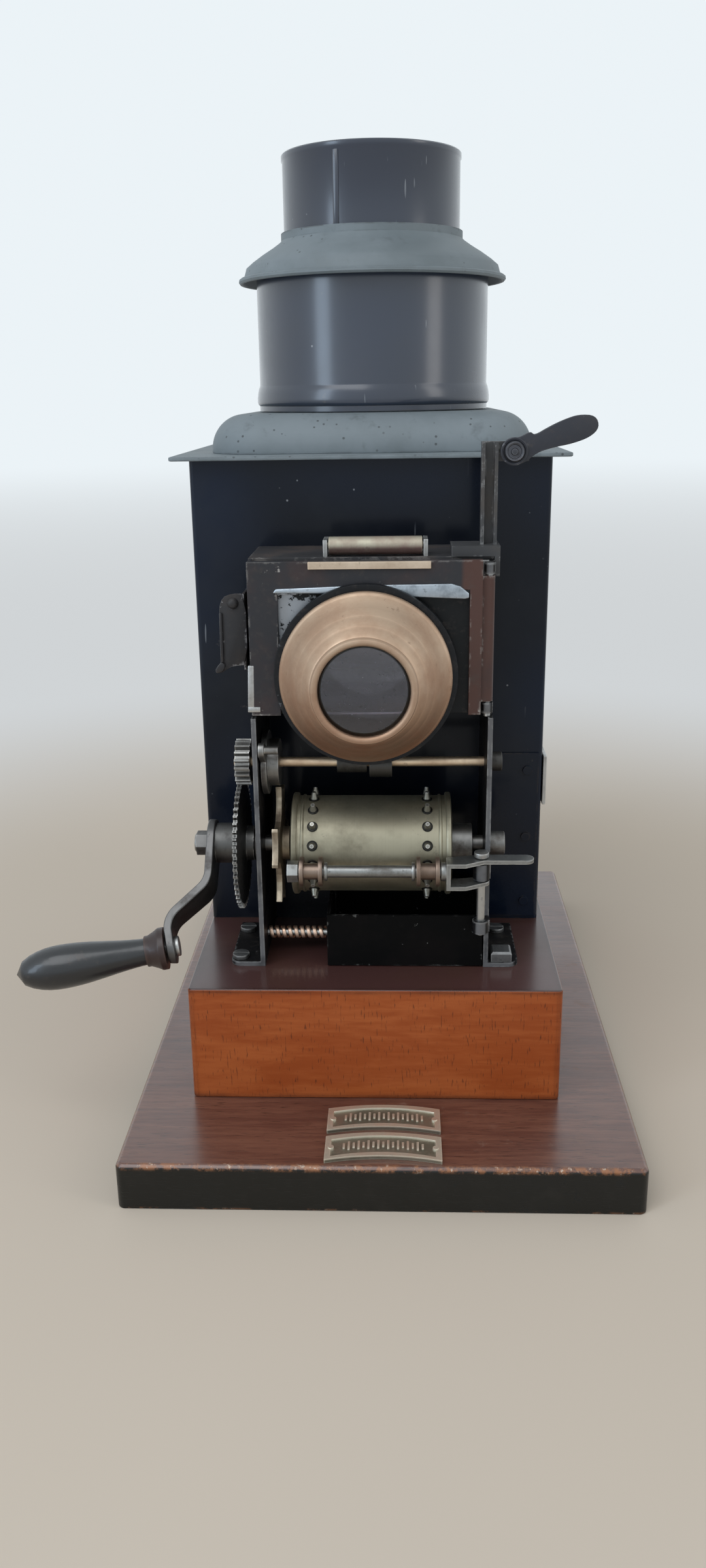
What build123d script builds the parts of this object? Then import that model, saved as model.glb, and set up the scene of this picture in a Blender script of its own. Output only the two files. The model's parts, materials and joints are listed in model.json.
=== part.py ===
"""Hand-cranked film lantern for 35 mm film loops, in millimetres.

The row frame has its origin at the centre of the base board's underside, +Z up,
+X to the right of a person who faces the lens, and +Y towards the back of the lantern.
"""
from build123d import *
import os
from math import cos, pi, radians, sin, sqrt, tan

# Base board and plinth
board_width = 122.4
board_length = 180.0
board_thickness = 11.8
board_corner_radius = 1.8
board_bevel = 0.8
plinth_width = 91.4
plinth_offset = -1.6
plinth_length = 132.5
plinth_height = 30.2
plinth_setback = 28.5
plinth_bevel = 0.7
machine_offset = -2.5

# Plates pinned to the front of the base board
badge_length = 27.2
badge_offset = 0.7
badge_width = 11.0
badge_thickness = 0.6
badge_rise = 1.8
badge_border = 1.4
badge_relief = 0.5
badge_gap = 0.6
badge_margin = 1.6
badge_pin_radius = 0.7

# Lamp house
house_width = 89.4
house_depth = 90.0
house_height = 122.7
house_wall = 0.8
house_corner_radius = 1.2
window_radius = 16.5
vent_radius = 3.0
vent_pitch = 12.0
vent_count = 5
vent_height = 9.0
roof_overhang = 4.3
roof_thickness = 1.0
roof_hole_radius = 29.3
dome_width = 82.0
dome_height = 9.5
dome_corner_radius = 14.0
dome_round = 8.6
dome_wall = 0.8
patch_plate_gap = 0.8
patch_height = 46.5
patch_thickness = 0.6
patch_edge_gap = 1.0
rivet_radius = 1.2

# Chimney
chimney_seat_height = 7.5
chimney_radius = 31.0
chimney_wall = 0.8
chimney_height = 36.5
chimney_bead = 0.6
chimney_bead_height = 6.5
cowl_rim_radius = 35.7
cowl_wall = 0.8
cowl_neck_height = 2.6
cowl_skirt_rise = 5.2
cowl_cone_rise = 4.6
pipe_radius = 23.3
pipe_height = 22.6
lift_fit = 0.1
chimney_lift = 30.0

# Side door of the lamp house
door_front_inset = 5.0
door_back_inset = 11.0
door_sill = 9.0
door_lintel = 9.5
door_gap = 0.4
door_knuckle_radius = 1.3
door_knuckle_length = 9.0
door_hinge_standoff = 0.4
door_pin_radius = 0.7
door_tab_height = 13.5
door_tab_length = 9.0
door_tab_thickness = 0.9
door_tab_rise = 32.8

# Side plates of the mechanism
plate_span = 57.3
plate_offset = 0.55
plate_thickness = 1.2
plate_depth = 29.7
plate_upper_depth = 23.5
foot_width = 7.6
foot_length = 24.0
foot_corner_radius = 2.6
foot_screw_left = 5.3
foot_screw_right = 3.4
foot_screw_front = 3.0
foot_screw_back = 19.3
screw_head_radius = 2.1
screw_head_height = 1.1
screw_shank_radius = 1.2
screw_slot = 0.5
square_head = 5.2
square_head_height = 2.6

# Gate: the frame, lens board and film track at the top of the mechanism
gate_bottom = 65.6
gate_height = 36.1
gate_frame_thickness = 2.0
gate_frame_ahead = 4.3
gate_left_band = 6.9
gate_right_band = 2.9
gate_top_band = 6.7
gate_hinge_inset = 1.4
gate_hinge_radius = 1.3
gate_pin_radius = 0.8
gate_knuckle_length = 2.6
gate_flange_depth = 4.0
gate_sheet = 0.8
top_sheet = 0.8
top_slot = 1.1
aperture_width = 24.0
aperture_height = 18.0
track_width = 35.0
runner_width = 2.6
runner_thickness = 0.6
film_gap = 0.6
track_above_cam = 17.9
pad_thickness = 0.8
pad_margin = 1.5
pad_lower_inset = 1.4
pad_above_lens = 17.0
pad_window_rise = 2.4
pad_post_inset = 1.5
pad_post_radius = 1.0

# Lens
lens_height = 76.4
lens_offset = -0.6
lens_tube_radius = 16.0
lens_tube_wall = 1.0
lens_ring_radius = 20.0
lens_ring_thickness = 2.4
lens_step_radius = 15.6
lens_cone_length = 7.0
lens_nose_length = 6.0
lens_rim_radius = 11.8
lens_glass_radius = 10.3
lens_glass_edge = 1.2
lens_bulge = 1.6
lens_focus = 5.0
flange_radius = 21.4
flange_thickness = 2.2

# Film drum and its intermittent wheel
drum_ahead = 18.5
drum_height = 29.2
drum_radius = 12.1
drum_wall = 1.2
drum_length = 39.5
drum_shift = 0.3
drum_rim = 0.8
drum_rim_width = 1.4
drum_shaft_radius = 2.0
drum_hub_radius = 5.0
drum_hub_length = 5.4
collar_radius = 3.0
collar_length = 4.0
film_track_pitch = 28.17
teeth_per_row = 16
tooth_root_radius = 0.95
tooth_tip_radius = 0.5
tooth_height = 2.0
tooth_phase = 5.4
star_slots = 4
star_thickness = 2.4
star_hub_radius = 4.2
star_pin_radius = 1.0
star_radius = 15.2
star_pin_circle = 12.0
star_lock_radius = 8.0
drive_plate_thickness = 1.4
drive_plate_radius = 8.0
drive_hub_radius = 5.9
drive_arm_half_width = 2.2
cam_rest_angle = 30.0
turning_gap = 0.3

# Gear pair and shafts
gear_module = 0.6
gear_teeth = 54
pinion_teeth = 18
gear_face = 1.8
pinion_face = 3.7
pinion_ahead = 1.6
gear_ahead = 3.4
gear_web = 1.0
gear_rim_width = 2.6
cam_shaft_radius = 1.2
running_fit = 0.05
cam_collar_radius = 2.7
cam_collar_length = 7.4
cam_lobe_radius = 3.3
cam_lobe_offset = 0.6
cam_lobe_width = 5.6

# Crank
crank_stud_radius = 2.2
stud_flange_radius = 4.4
stud_flange_thickness = 1.2
crank_hub_radius = 5.1
crank_hub_length = 6.0
crank_reach = 28.0
crank_thickness = 2.0
crank_eye_radius = 6.0
crank_end_radius = 4.0
crank_jog = 9.6
crank_jog_start = 12.3
crank_jog_end = 22.0
crank_bend_radius = 6.0
crank_lean = 11.0
crank_rest_angle = 45.0
crank_nut_radius = 3.2
crank_nut_length = 2.9
handle_length = 36.8
handle_neck_radius = 3.2
handle_bulge_radius = 5.4
handle_bulge_at = 0.68
handle_collar_radius = 5.2
handle_collar_length = 2.4
ferrule_length = 5.0
ferrule_radius = 5.0
ferrule_wall = 0.6
spindle_radius = 1.5
spindle_share = 0.8
handle_fit = 0.1

# Presser rollers
presser_drop = 1.2
presser_shaft_radius = 1.5
presser_barrel_radius = 2.0
presser_flange_radius = 3.6
presser_flange_width = 1.0
presser_roller_length = 5.6
presser_collar_radius = 2.3
presser_collar_width = 0.8
presser_nut_radius = 2.7
presser_nut_length = 2.7
bracket_sheet = 1.0
bracket_height = 6.8
bracket_leg_gap = 1.6
bracket_width = 4.6
presser_pin_radius = 1.0
presser_pin_ahead = 2.9
presser_pin_inset = 2.3
presser_pin_drop = 9.6
presser_foot_height = 3.2
presser_knuckle_radius = 2.0
presser_lever_reach = 12.6

# Lower film channel and its spring
channel_width = 38.8
channel_depth = 25.0
channel_height = 13.8
channel_wall = 0.8
channel_clearance = 0.3
spring_radius = 2.0
spring_wire = 0.6
spring_turns = 12
spring_rod_radius = 0.9
spring_height = 5.4
spring_inset = 9.0
spring_rod_overlap = 6.0

# Film guide on the top of the gate
guide_roller_length = 21.8
guide_roller_radius = 2.1
guide_axle_radius = 0.8
guide_post_thickness = 1.0
guide_post_width = 5.0
guide_shift = 1.8
guide_lip_width = 28.0
guide_lip_height = 1.7
guide_lip_depth = 0.8

# Gate latch
latch_sheet = 0.6
latch_height = 18.0
latch_grip_width = 6.2
latch_tail = 4.0
latch_knuckle_radius = 1.0
latch_pin_radius = 0.55
latch_knuckle_back = 14.5
latch_rise = 11.4

# Reel arm
reel_bar_width = 3.8
reel_bar_depth = 3.0
reel_bar_height = 23.0
reel_bar_sheet = 0.8
reel_clamp_length = 11.2
reel_clamp_depth = 10.0
reel_clamp_height = 2.4
reel_clamp_lug = 4.6
reel_bar_ahead = 20.5
reel_lug_length = 7.0
reel_lug_height = 4.4
reel_lug_thickness = 1.6
reel_pivot_radius = 1.2
reel_screw_radius = 2.7
reel_screw_thickness = 1.2
reel_arm_thickness = 1.2
reel_arm_length = 16.6
reel_arm_end_radius = 3.0
reel_arm_eye_radius = 3.1
reel_arm_rest_angle = 17.0

# Condenser and oil lamp inside the house
condenser_radius = 19.0
condenser_edge = 1.5
condenser_bulge = 6.0
condenser_cell_wall = 1.0
condenser_cell_length = 14.0
lamp_radius = 22.0
lamp_tank_height = 26.0
burner_radius = 9.0
burner_collar_radius = 13.0
burner_height = 34.0
lamp_glass_radius = 12.0
lamp_glass_bulge = 4.0
lamp_glass_wall = 1.0
lamp_glass_height = 54.0
wick_width = 12.0
wick_thickness = 1.8
wick_height = 29.0
wick_gap = 0.3
wick_spindle_radius = 0.9
wick_knob_radius = 4.0
wick_knob_length = 3.0
wick_spindle_length = 20.0
reflector_radius = 24.0
reflector_sag = 6.0
reflector_sheet = 0.8
reflector_back = 22.0

# Places that follow from the sizes
board_front = -board_length / 2
plinth_front = board_front + plinth_setback
plinth_back = plinth_front + plinth_length
deck = board_thickness + plinth_height
house_back = plinth_back
house_front = house_back - house_depth
house_middle = (house_front + house_back) / 2
house_right = machine_offset + house_width / 2
house_top = deck + house_height
roof_top = house_top + roof_thickness
dome_top = roof_top + dome_height
plate_left = machine_offset + plate_offset - plate_span / 2
plate_right = machine_offset + plate_offset + plate_span / 2
plate_left_inner = plate_left + plate_thickness
plate_right_inner = plate_right - plate_thickness
plate_front = house_front - plate_depth
plate_upper_front = house_front - plate_upper_depth
drum_y = house_front - drum_ahead
drum_z = deck + drum_height
shaft_spacing = gear_module * (gear_teeth + pinion_teeth) / 2
cam_z = drum_z + shaft_spacing
gate_base_z = deck + gate_bottom
gate_top_z = gate_base_z + gate_height
gate_back = plate_upper_front - gate_frame_ahead
gate_front = gate_back - gate_frame_thickness
gate_hinge_x = plate_right - gate_hinge_inset
gate_hinge_y = gate_back + turning_gap
lens_x = machine_offset + lens_offset
lens_z = deck + lens_height
film_centre = machine_offset - 0.15
drum_right = film_centre + drum_shift + drum_length / 2
drum_left = film_centre + drum_shift - drum_length / 2
drive_plate_left = plate_left_inner + turning_gap
star_left = drive_plate_left + drive_plate_thickness + turning_gap
star_right = star_left + star_thickness
gear_right = plate_left - gear_ahead
gear_left = gear_right - gear_face
hub_left = gear_left - crank_hub_length
arm_left = hub_left - crank_thickness
presser_y_ahead = sqrt((drum_radius + tooth_height + turning_gap + presser_barrel_radius) ** 2
                       - presser_drop ** 2)
presser_y = drum_y - presser_y_ahead
presser_z = drum_z - presser_drop
presser_pin_x = plate_right - presser_pin_inset
presser_pin_y = plate_front - presser_pin_ahead
film_plane = plate_upper_front - runner_thickness
lamp_burner_z = deck + lamp_tank_height + turning_gap
cowl_waist = chimney_radius + cowl_wall
cowl_neck_radius = pipe_radius + cowl_wall


def block(x0, x1, y0, y1, z0, z1):
    """A box between two corners."""
    return Pos((x0 + x1) / 2, (y0 + y1) / 2, (z0 + z1) / 2) * Box(x1 - x0, y1 - y0, z1 - z0)


def rod_x(x0, x1, y, z, radius):
    """A round bar along X."""
    return Pos((x0 + x1) / 2, y, z) * Rot(0, 90, 0) * Cylinder(radius, x1 - x0)


def rod_y(x, y0, y1, z, radius):
    """A round bar along Y."""
    return Pos(x, (y0 + y1) / 2, z) * Rot(90, 0, 0) * Cylinder(radius, y1 - y0)


def rod_z(x, y, z0, z1, radius):
    """A round bar along Z."""
    return Pos(x, y, (z0 + z1) / 2) * Cylinder(radius, z1 - z0)


def turned_z(points, x, y):
    """A solid turned about the vertical through x, y, from (radius, z) points."""
    profile = make_face(Polyline([(r, 0, z) for r, z in points], close=True))
    return Pos(x, y, 0) * revolve(profile, Axis.Z, 360)


def turned_y(points, x, z):
    """A solid turned about the line along Y through x, z, from (radius, y) points."""
    profile = make_face(Polyline([(r, y, 0) for r, y in points], close=True))
    return Pos(x, 0, z) * revolve(profile, Axis.Y, 360)


def turned_x(points, y, z):
    """A solid turned about the line along X through y, z, from (x, radius) points."""
    profile = make_face(Polyline([(x, r, 0) for x, r in points], close=True))
    return Pos(0, y, z) * revolve(profile, Axis.X, 360)


def hexagon_x(x0, x1, y, z, radius):
    """A hexagonal nut along X."""
    face = Plane.YZ * RegularPolygon(radius, 6)
    return Pos(x0, y, z) * extrude(face, x1 - x0)


def facing(x, face, thickness):
    """A face drawn in Y and Z, given a thickness along +X from x."""
    return Pos(x, 0, 0) * extrude(Plane.YZ * face, thickness)


def base_board():
    board = extrude(RectangleRounded(board_width, board_length, board_corner_radius), board_thickness)
    return chamfer(board.faces().sort_by(Axis.Z)[-1].edges(), board_bevel)


def plinth_block():
    block_body = block(plinth_offset - plinth_width / 2, plinth_offset + plinth_width / 2,
                       plinth_front, plinth_back, board_thickness, deck)
    return chamfer(block_body.edges().filter_by(Axis.Z), plinth_bevel)


def badge_face(front, inset):
    """A banner outline whose long edges bow towards the back."""
    half = badge_length / 2 - inset
    near = front + inset
    far = front + badge_width - badge_rise - inset
    back = ThreePointArc((half, far), (0, far + badge_rise), (-half, far))
    left = Line((-half, far), (-half, near))
    fore = ThreePointArc((-half, near), (0, near + badge_rise), (half, near))
    right = Line((half, near), (half, far))
    return make_face([back, left, fore, right])


def badge(front):
    """A pressed plate with a raised border."""
    plate = extrude(badge_face(front, 0), badge_thickness)
    border = extrude(badge_face(front, 0), badge_thickness + badge_relief)
    border -= extrude(badge_face(front, badge_border), badge_thickness + badge_relief)
    plate += border
    for side in (-1, 1):
        x = side * (badge_length / 2 - badge_border / 2 - badge_pin_radius)
        y = front + (badge_width - badge_rise) / 2 + badge_rise * 0.1
        height = badge_thickness + badge_relief
        plate -= rod_z(x, y, 0, 2 * height, badge_pin_radius)
    return Pos(badge_offset, 0, board_thickness) * plate


def badge_pins(front):
    """The two round-headed pins of one plate."""
    pins = Part()
    for side in (-1, 1):
        x = side * (badge_length / 2 - badge_border / 2 - badge_pin_radius)
        y = front + (badge_width - badge_rise) / 2 + badge_rise * 0.1
        top = board_thickness + badge_thickness + badge_relief
        pins += rod_z(badge_offset + x, y, board_thickness, top + 0.2, badge_pin_radius)
    return pins


def badges():
    """Both plates and their pins."""
    solids = Part()
    for row in (0, 1):
        front = board_front + badge_margin + row * (badge_width + badge_gap)
        solids += badge(front)
        solids += badge_pins(front)
    return solids


def door_span():
    """The door opening's front, back, bottom and top."""
    return (house_front + door_front_inset, house_back - door_back_inset,
            deck + door_sill, house_top - door_lintel)


def door_axis():
    """The side door's hinge line."""
    return (house_right + door_hinge_standoff + door_knuckle_radius, door_span()[1] + 0.2)


def lamp_house():
    x0 = machine_offset - house_width / 2
    shell = block(x0, house_right, house_front, house_back, deck, house_top)
    shell = fillet(shell.edges().filter_by(Axis.Z), house_corner_radius)
    shell -= block(x0 + house_wall, house_right - house_wall, house_front + house_wall,
                   house_back - house_wall, deck, house_top)
    shell -= rod_y(lens_x, house_front - 1, house_front + house_wall + 1, lens_z, window_radius)
    y0, y1, z0, z1 = door_span()
    shell -= block(house_right - 2 * house_wall, house_right + 1, y0, y1, z0, z1)
    for index in range(vent_count):
        x = machine_offset + (index - (vent_count - 1) / 2) * vent_pitch
        shell -= rod_y(x, house_back - 2, house_back + 1, deck + vent_height, vent_radius)
    x, y = door_axis()
    for bottom in (z0, z1 - door_knuckle_length):
        shell += rod_z(x, y, bottom, bottom + door_knuckle_length, door_knuckle_radius)
        shell += block(house_right - house_wall, x, y + 0.2, y + 1.2, bottom, bottom + door_knuckle_length)
    return shell - rod_z(x, y, z0 - 1, z1 + 1, door_pin_radius)


def front_patch():
    """The riveted sheet at the lower right of the front wall."""
    x1 = house_right - patch_edge_gap
    x0 = plate_right + patch_plate_gap
    z0 = deck + patch_edge_gap
    y = house_front - patch_thickness
    sheet = block(x0, x1, y, house_front, z0, z0 + patch_height)
    for share in (0.1, 0.5, 0.9):
        z = z0 + share * patch_height
        sheet += rod_y(x1 - 2.5 * rivet_radius, y - rivet_radius / 2, y, z, rivet_radius)
    return sheet


def roof_plate():
    width = house_width + 2 * roof_overhang
    depth = house_depth + 2 * roof_overhang
    sheet = extrude(RectangleRounded(width, depth, house_corner_radius), roof_thickness)
    sheet = Pos(machine_offset, house_middle, house_top) * sheet
    return sheet - rod_z(machine_offset, house_middle, house_top - 1, roof_top + 1, roof_hole_radius)


def pillow(width, corner, height, round_radius):
    """A square cushion form with a rounded upper edge."""
    form = extrude(RectangleRounded(width, width, corner), height)
    return fillet(form.faces().sort_by(Axis.Z)[-1].edges(), round_radius)


def roof_dome():
    """The hollow dome with the collar that the chimney slips over."""
    outer = pillow(dome_width, dome_corner_radius, dome_height, dome_round)
    inner = pillow(dome_width - 2 * dome_wall, dome_corner_radius - dome_wall,
                   dome_height - dome_wall, dome_round - dome_wall)
    dome = Pos(machine_offset, house_middle, roof_top) * (outer - inner)
    seat = chimney_radius - chimney_wall - lift_fit
    dome += rod_z(machine_offset, house_middle, dome_top - dome_wall, dome_top + chimney_seat_height, seat)
    bore = seat - chimney_wall
    return dome - rod_z(machine_offset, house_middle, roof_top - 1, dome_top + chimney_seat_height + 1, bore)


def chimney_drum():
    base = dome_top + turning_gap
    inner = chimney_radius - chimney_wall
    bead = chimney_radius + chimney_bead
    bead_top = base + chimney_bead_height
    points = [(inner, base), (bead, base), (bead, bead_top), (chimney_radius, bead_top + chimney_bead),
              (chimney_radius, base + chimney_height), (inner, base + chimney_height)]
    return turned_z(points, machine_offset, house_middle)


def cowl_base():
    """The height of the cowl's rim."""
    return dome_top + turning_gap + chimney_height - cowl_skirt_rise + chimney_wall


def chimney_cowl():
    rim = cowl_base()
    shoulder = rim + cowl_skirt_rise
    neck = shoulder + cowl_cone_rise
    wall = cowl_wall
    waist = cowl_waist
    points = [(cowl_rim_radius - wall, rim), (cowl_rim_radius, rim), (cowl_rim_radius, rim + 1.2),
              (waist, shoulder + 0.2), (cowl_neck_radius, neck + 0.2),
              (cowl_neck_radius, neck + cowl_neck_height), (cowl_neck_radius - wall, neck + cowl_neck_height),
              (cowl_neck_radius - wall, neck - wall), (waist - wall, shoulder - wall)]
    return turned_z(points, machine_offset, house_middle)


def chimney_pipe():
    neck = cowl_base() + cowl_skirt_rise + cowl_cone_rise
    z0 = neck - 1.2
    wall = chimney_wall
    points = [(pipe_radius - wall, z0), (pipe_radius, z0), (pipe_radius, z0 + pipe_height),
              (pipe_radius - wall, z0 + pipe_height)]
    return turned_z(points, machine_offset, house_middle)


def side_door():
    y0, y1, z0, z1 = door_span()
    panel = block(house_right - house_wall, house_right, y0 + door_gap, y1 - door_gap,
                  z0 + door_gap, z1 - door_gap)
    x, y = door_axis()
    low = z0 + door_knuckle_length + turning_gap
    high = z1 - door_knuckle_length - turning_gap
    panel += rod_z(x, y, low, high, door_knuckle_radius)
    panel += block(house_right - house_wall, x, y - 1.4, y - 0.6, low, high)
    return panel - rod_z(x, y, z0, z1, door_pin_radius + running_fit)


def door_tab():
    """The spring tab that closes the side door and serves as its grip."""
    y0 = door_span()[0]
    z0 = deck + door_tab_rise
    z1 = z0 + door_tab_height
    near = y0 - door_front_inset + 0.6
    tab = block(house_right + turning_gap, house_right + turning_gap + door_tab_thickness,
                near, near + door_tab_length, z0, z1)
    root = near + door_tab_length - 2.0
    tab += block(house_right, house_right + turning_gap + 0.01, root, near + door_tab_length, z0, z1)
    return tab


def plate_outline():
    """The outline of a side plate in Y and Z."""
    step = gate_base_z - 0.8
    top = gate_top_z - top_sheet
    points = [(house_front, deck), (plate_front, deck), (plate_front, step), (plate_upper_front, step),
              (plate_upper_front, top), (house_front, top)]
    return make_face(Polyline([(y, z) for y, z in points], close=True))


def foot(side):
    """The bent foot of a side plate, with its two holes."""
    outer = plate_left if side < 0 else plate_right
    x0, x1 = sorted((outer, outer + side * foot_width))
    sheet = block(x0, x1, plate_front, plate_front + foot_length, deck, deck + plate_thickness)
    corners = sheet.edges().filter_by(Axis.Z).group_by(Axis.Y)[0].sort_by(Axis.X)
    sheet = fillet(corners[0 if side < 0 else -1], foot_corner_radius)
    x = foot_screw_x(side)
    for y in foot_screw_rows():
        sheet -= rod_z(x, y, deck - 1, deck + 3, screw_shank_radius)
    return sheet


def foot_screw_x(side):
    """The line of one foot's screws along X."""
    return plate_left - foot_screw_left if side < 0 else plate_right + foot_screw_right


def foot_screw_rows():
    """The places of the foot screws along Y."""
    return (plate_front + foot_screw_front, plate_front + foot_screw_back)


def bearing_holes():
    """The two bearing holes that both plates have."""
    span = (plate_left - 1, plate_right + 1)
    holes = rod_x(span[0], span[1], drum_y, drum_z, drum_shaft_radius + running_fit)
    return holes + rod_x(span[0], span[1], drum_y, cam_z, cam_shaft_radius + running_fit)


def latch_axis():
    """The hinge line of the gate latch."""
    return (plate_left - turning_gap - latch_knuckle_radius, plate_upper_front + latch_knuckle_back)


def latch_span():
    """The lowest and highest point of the latch's leaf."""
    z0 = gate_base_z + latch_rise
    return (z0, z0 + latch_height)


def side_plate_left():
    plate = facing(plate_left, plate_outline(), plate_thickness) + foot(-1)
    x, y = latch_axis()
    z0, z1 = latch_span()
    radius = latch_knuckle_radius
    for low, high in ((z0 - 2.2, z0 - turning_gap), (z1 + turning_gap, z1 + 2.2)):
        plate += rod_z(x, y, low, high, radius)
        plate += block(x, plate_left + 0.2, y - 0.8 * radius, y + 0.8 * radius, low, high)
    plate -= rod_z(x, y, z0 - 3, z1 + 3, latch_pin_radius)
    rod_height = deck + spring_height
    plate -= rod_x(plate_left - 1, plate_left_inner + 1, plate_front + spring_inset, rod_height,
                   spring_rod_radius)
    return plate - bearing_holes()


def gate_knuckles():
    """The lower and upper fixed knuckle of the gate's hinge, as bottom and top."""
    top = gate_top_z - top_sheet
    return ((gate_base_z, gate_base_z + gate_knuckle_length), (top - gate_knuckle_length, top))


def bracket_levels():
    """The undersides of the presser bracket's lower and upper strip."""
    upper = presser_z + presser_shaft_radius + 0.2
    return (upper - bracket_height + bracket_sheet, upper)


def presser_knuckles():
    """The two fixed knuckles of the presser's hinge, as bottom and top."""
    lower, upper = bracket_levels()
    inside = (lower + bracket_sheet + turning_gap, upper - turning_gap)
    foot = lower - presser_pin_drop
    below = (foot - presser_foot_height, foot)
    return (below, inside)


def side_plate_right():
    plate = facing(plate_right_inner, plate_outline(), plate_thickness) + foot(1)
    for low, high in gate_knuckles():
        plate += rod_z(gate_hinge_x, gate_hinge_y, low, high, gate_hinge_radius)
        plate += block(plate_right_inner, plate_right, gate_hinge_y, plate_upper_front, low, high)
    plate -= rod_z(gate_hinge_x, gate_hinge_y, gate_base_z - 1, gate_top_z + 1, gate_pin_radius)
    for strip in bracket_levels():
        plate -= block(plate_right_inner - 1, plate_right + 1, plate_front - 1, plate_front + 2.0,
                       strip - turning_gap, strip + bracket_sheet + turning_gap)
    low_pin = presser_knuckles()[0][0]
    high_pin = bracket_levels()[1] + bracket_sheet
    for low, high in presser_knuckles():
        plate += rod_z(presser_pin_x, presser_pin_y, low, high, presser_knuckle_radius)
        plate += block(plate_right_inner, plate_right, presser_pin_y, plate_front, low, high)
    plate -= rod_z(presser_pin_x, presser_pin_y, low_pin - 1, high_pin + 1, presser_pin_radius)
    return plate - bearing_holes()


def slotted_screw(x, y, z):
    """A cheese-head screw with its slot, seated at z."""
    head = rod_z(x, y, z, z + screw_head_height, screw_head_radius)
    head -= block(x - 3, x + 3, y - screw_slot / 2, y + screw_slot / 2,
                  z + screw_head_height * 0.5, z + 2 * screw_head_height)
    return head + rod_z(x, y, z - plate_thickness, z, screw_shank_radius)


def foot_screws():
    screws = Part()
    z = deck + plate_thickness
    front, back = foot_screw_rows()
    left = foot_screw_x(-1)
    right = foot_screw_x(1)
    screws += slotted_screw(left, front, z)
    screws += slotted_screw(left, back, z)
    screws += slotted_screw(right, back, z)
    half = square_head / 2
    square = block(right - half, right + half, front - half, front + half, z, z + square_head_height)
    square = chamfer(square.faces().sort_by(Axis.Z)[-1].edges(), 0.5)
    return screws + square + rod_z(right, front, deck, z, screw_shank_radius)


def gate_top_plate():
    sheet = block(plate_left, plate_right, plate_upper_front + top_slot, house_front,
                  gate_top_z - top_sheet, gate_top_z)
    return sheet


def aperture_plate():
    """The film track between the plates, with its window and two runners."""
    bottom = cam_z + track_above_cam
    sheet = block(plate_left_inner, plate_right_inner, plate_upper_front, plate_upper_front + gate_sheet,
                  bottom, gate_top_z - top_sheet)
    half = aperture_width / 2
    sheet -= block(film_centre - half, film_centre + half, plate_upper_front - 1, plate_upper_front + 2,
                   lens_z - aperture_height / 2 + 1.2, lens_z + aperture_height / 2 + 1.2)
    for side in (-1, 1):
        middle = film_centre + side * (track_width - runner_width) / 2
        sheet += block(middle - runner_width / 2, middle + runner_width / 2, film_plane,
                       plate_upper_front, bottom, gate_top_z - top_sheet)
    return sheet


def guide_post_places():
    """The middle of each guide post along X."""
    half = guide_roller_length / 2 + turning_gap + guide_post_thickness / 2
    return (film_centre + guide_shift - half, film_centre + guide_shift + half)


def guide_axis():
    """The guide roller's axis along Y and Z."""
    radius = guide_roller_radius
    return (plate_upper_front + top_slot + radius, gate_top_z + turning_gap + radius)


def guide_bracket():
    y, z = guide_axis()
    left, right = guide_post_places()
    half = guide_post_thickness / 2
    bracket = block(left - half, right + half, y + guide_roller_radius + turning_gap,
                    y + guide_roller_radius + turning_gap + 3.0, gate_top_z, gate_top_z + 0.8)
    for middle in (left, right):
        bracket += block(middle - half, middle + half, y - guide_post_width / 2 + 0.7,
                         y + guide_roller_radius + turning_gap + 3.0, gate_top_z, z + guide_axle_radius + 0.7)
    return bracket - rod_x(left - 2, right + 2, y, z, guide_axle_radius + running_fit)


def guide_roller():
    y, z = guide_axis()
    left, right = guide_post_places()
    half = guide_roller_length / 2
    middle = film_centre + guide_shift
    roller = rod_x(middle - half, middle + half, y, z, guide_roller_radius)
    return roller + rod_x(left - guide_post_thickness / 2, right + guide_post_thickness / 2, y, z,
                          guide_axle_radius)


def door_pin_span():
    """The side door pin's bottom and top."""
    return (door_span()[2] - 0.5, door_span()[3] + 0.5)


def hinge_pins():
    """The pins of the gate, the presser, the latch and the side door."""
    low, high = gate_knuckles()
    pins = rod_z(gate_hinge_x, gate_hinge_y, low[0] - 0.8, high[1], gate_pin_radius)
    bottom = presser_knuckles()[0][0] - 0.6
    top = bracket_levels()[1] + bracket_sheet + turning_gap
    pins += rod_z(presser_pin_x, presser_pin_y, bottom, top + 1.0, presser_pin_radius)
    pins += rod_z(presser_pin_x, presser_pin_y, top, top + 1.2, presser_pin_radius + 0.8)
    x, y = latch_axis()
    pins += rod_z(x, y, latch_span()[0] - 2.6, latch_span()[1] + 2.6, latch_pin_radius)
    x, y = door_axis()
    return pins + rod_z(x, y, door_pin_span()[0], door_pin_span()[1], door_pin_radius)


def gate_leaf_right():
    """The right edge of the gate's flat frame."""
    return gate_hinge_x - gate_hinge_radius - turning_gap


def gate_door():
    """The frame that swings out with the lens: a band on three sides and a turned-back left edge."""
    left = plate_left + 0.4
    right = gate_leaf_right()
    inner_left = left + gate_left_band
    inner_right = right - gate_right_band
    frame = block(left, right, gate_front, gate_back, gate_base_z, gate_top_z)
    frame -= block(inner_left, inner_right, gate_front - 1, gate_back + 1, gate_base_z - 1,
                   gate_top_z - gate_top_band)
    frame += block(left, left + gate_sheet, gate_back, plate_upper_front - turning_gap,
                   gate_base_z, gate_top_z)
    low = gate_knuckles()[0][1] + turning_gap
    high = gate_knuckles()[1][0] - turning_gap
    frame += rod_z(gate_hinge_x, gate_hinge_y, low, high, gate_hinge_radius)
    frame += block(right, gate_hinge_x, gate_hinge_y - gate_hinge_radius, gate_back, low, high)
    return frame - rod_z(gate_hinge_x, gate_hinge_y, gate_base_z, gate_top_z, gate_pin_radius + running_fit)


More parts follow.
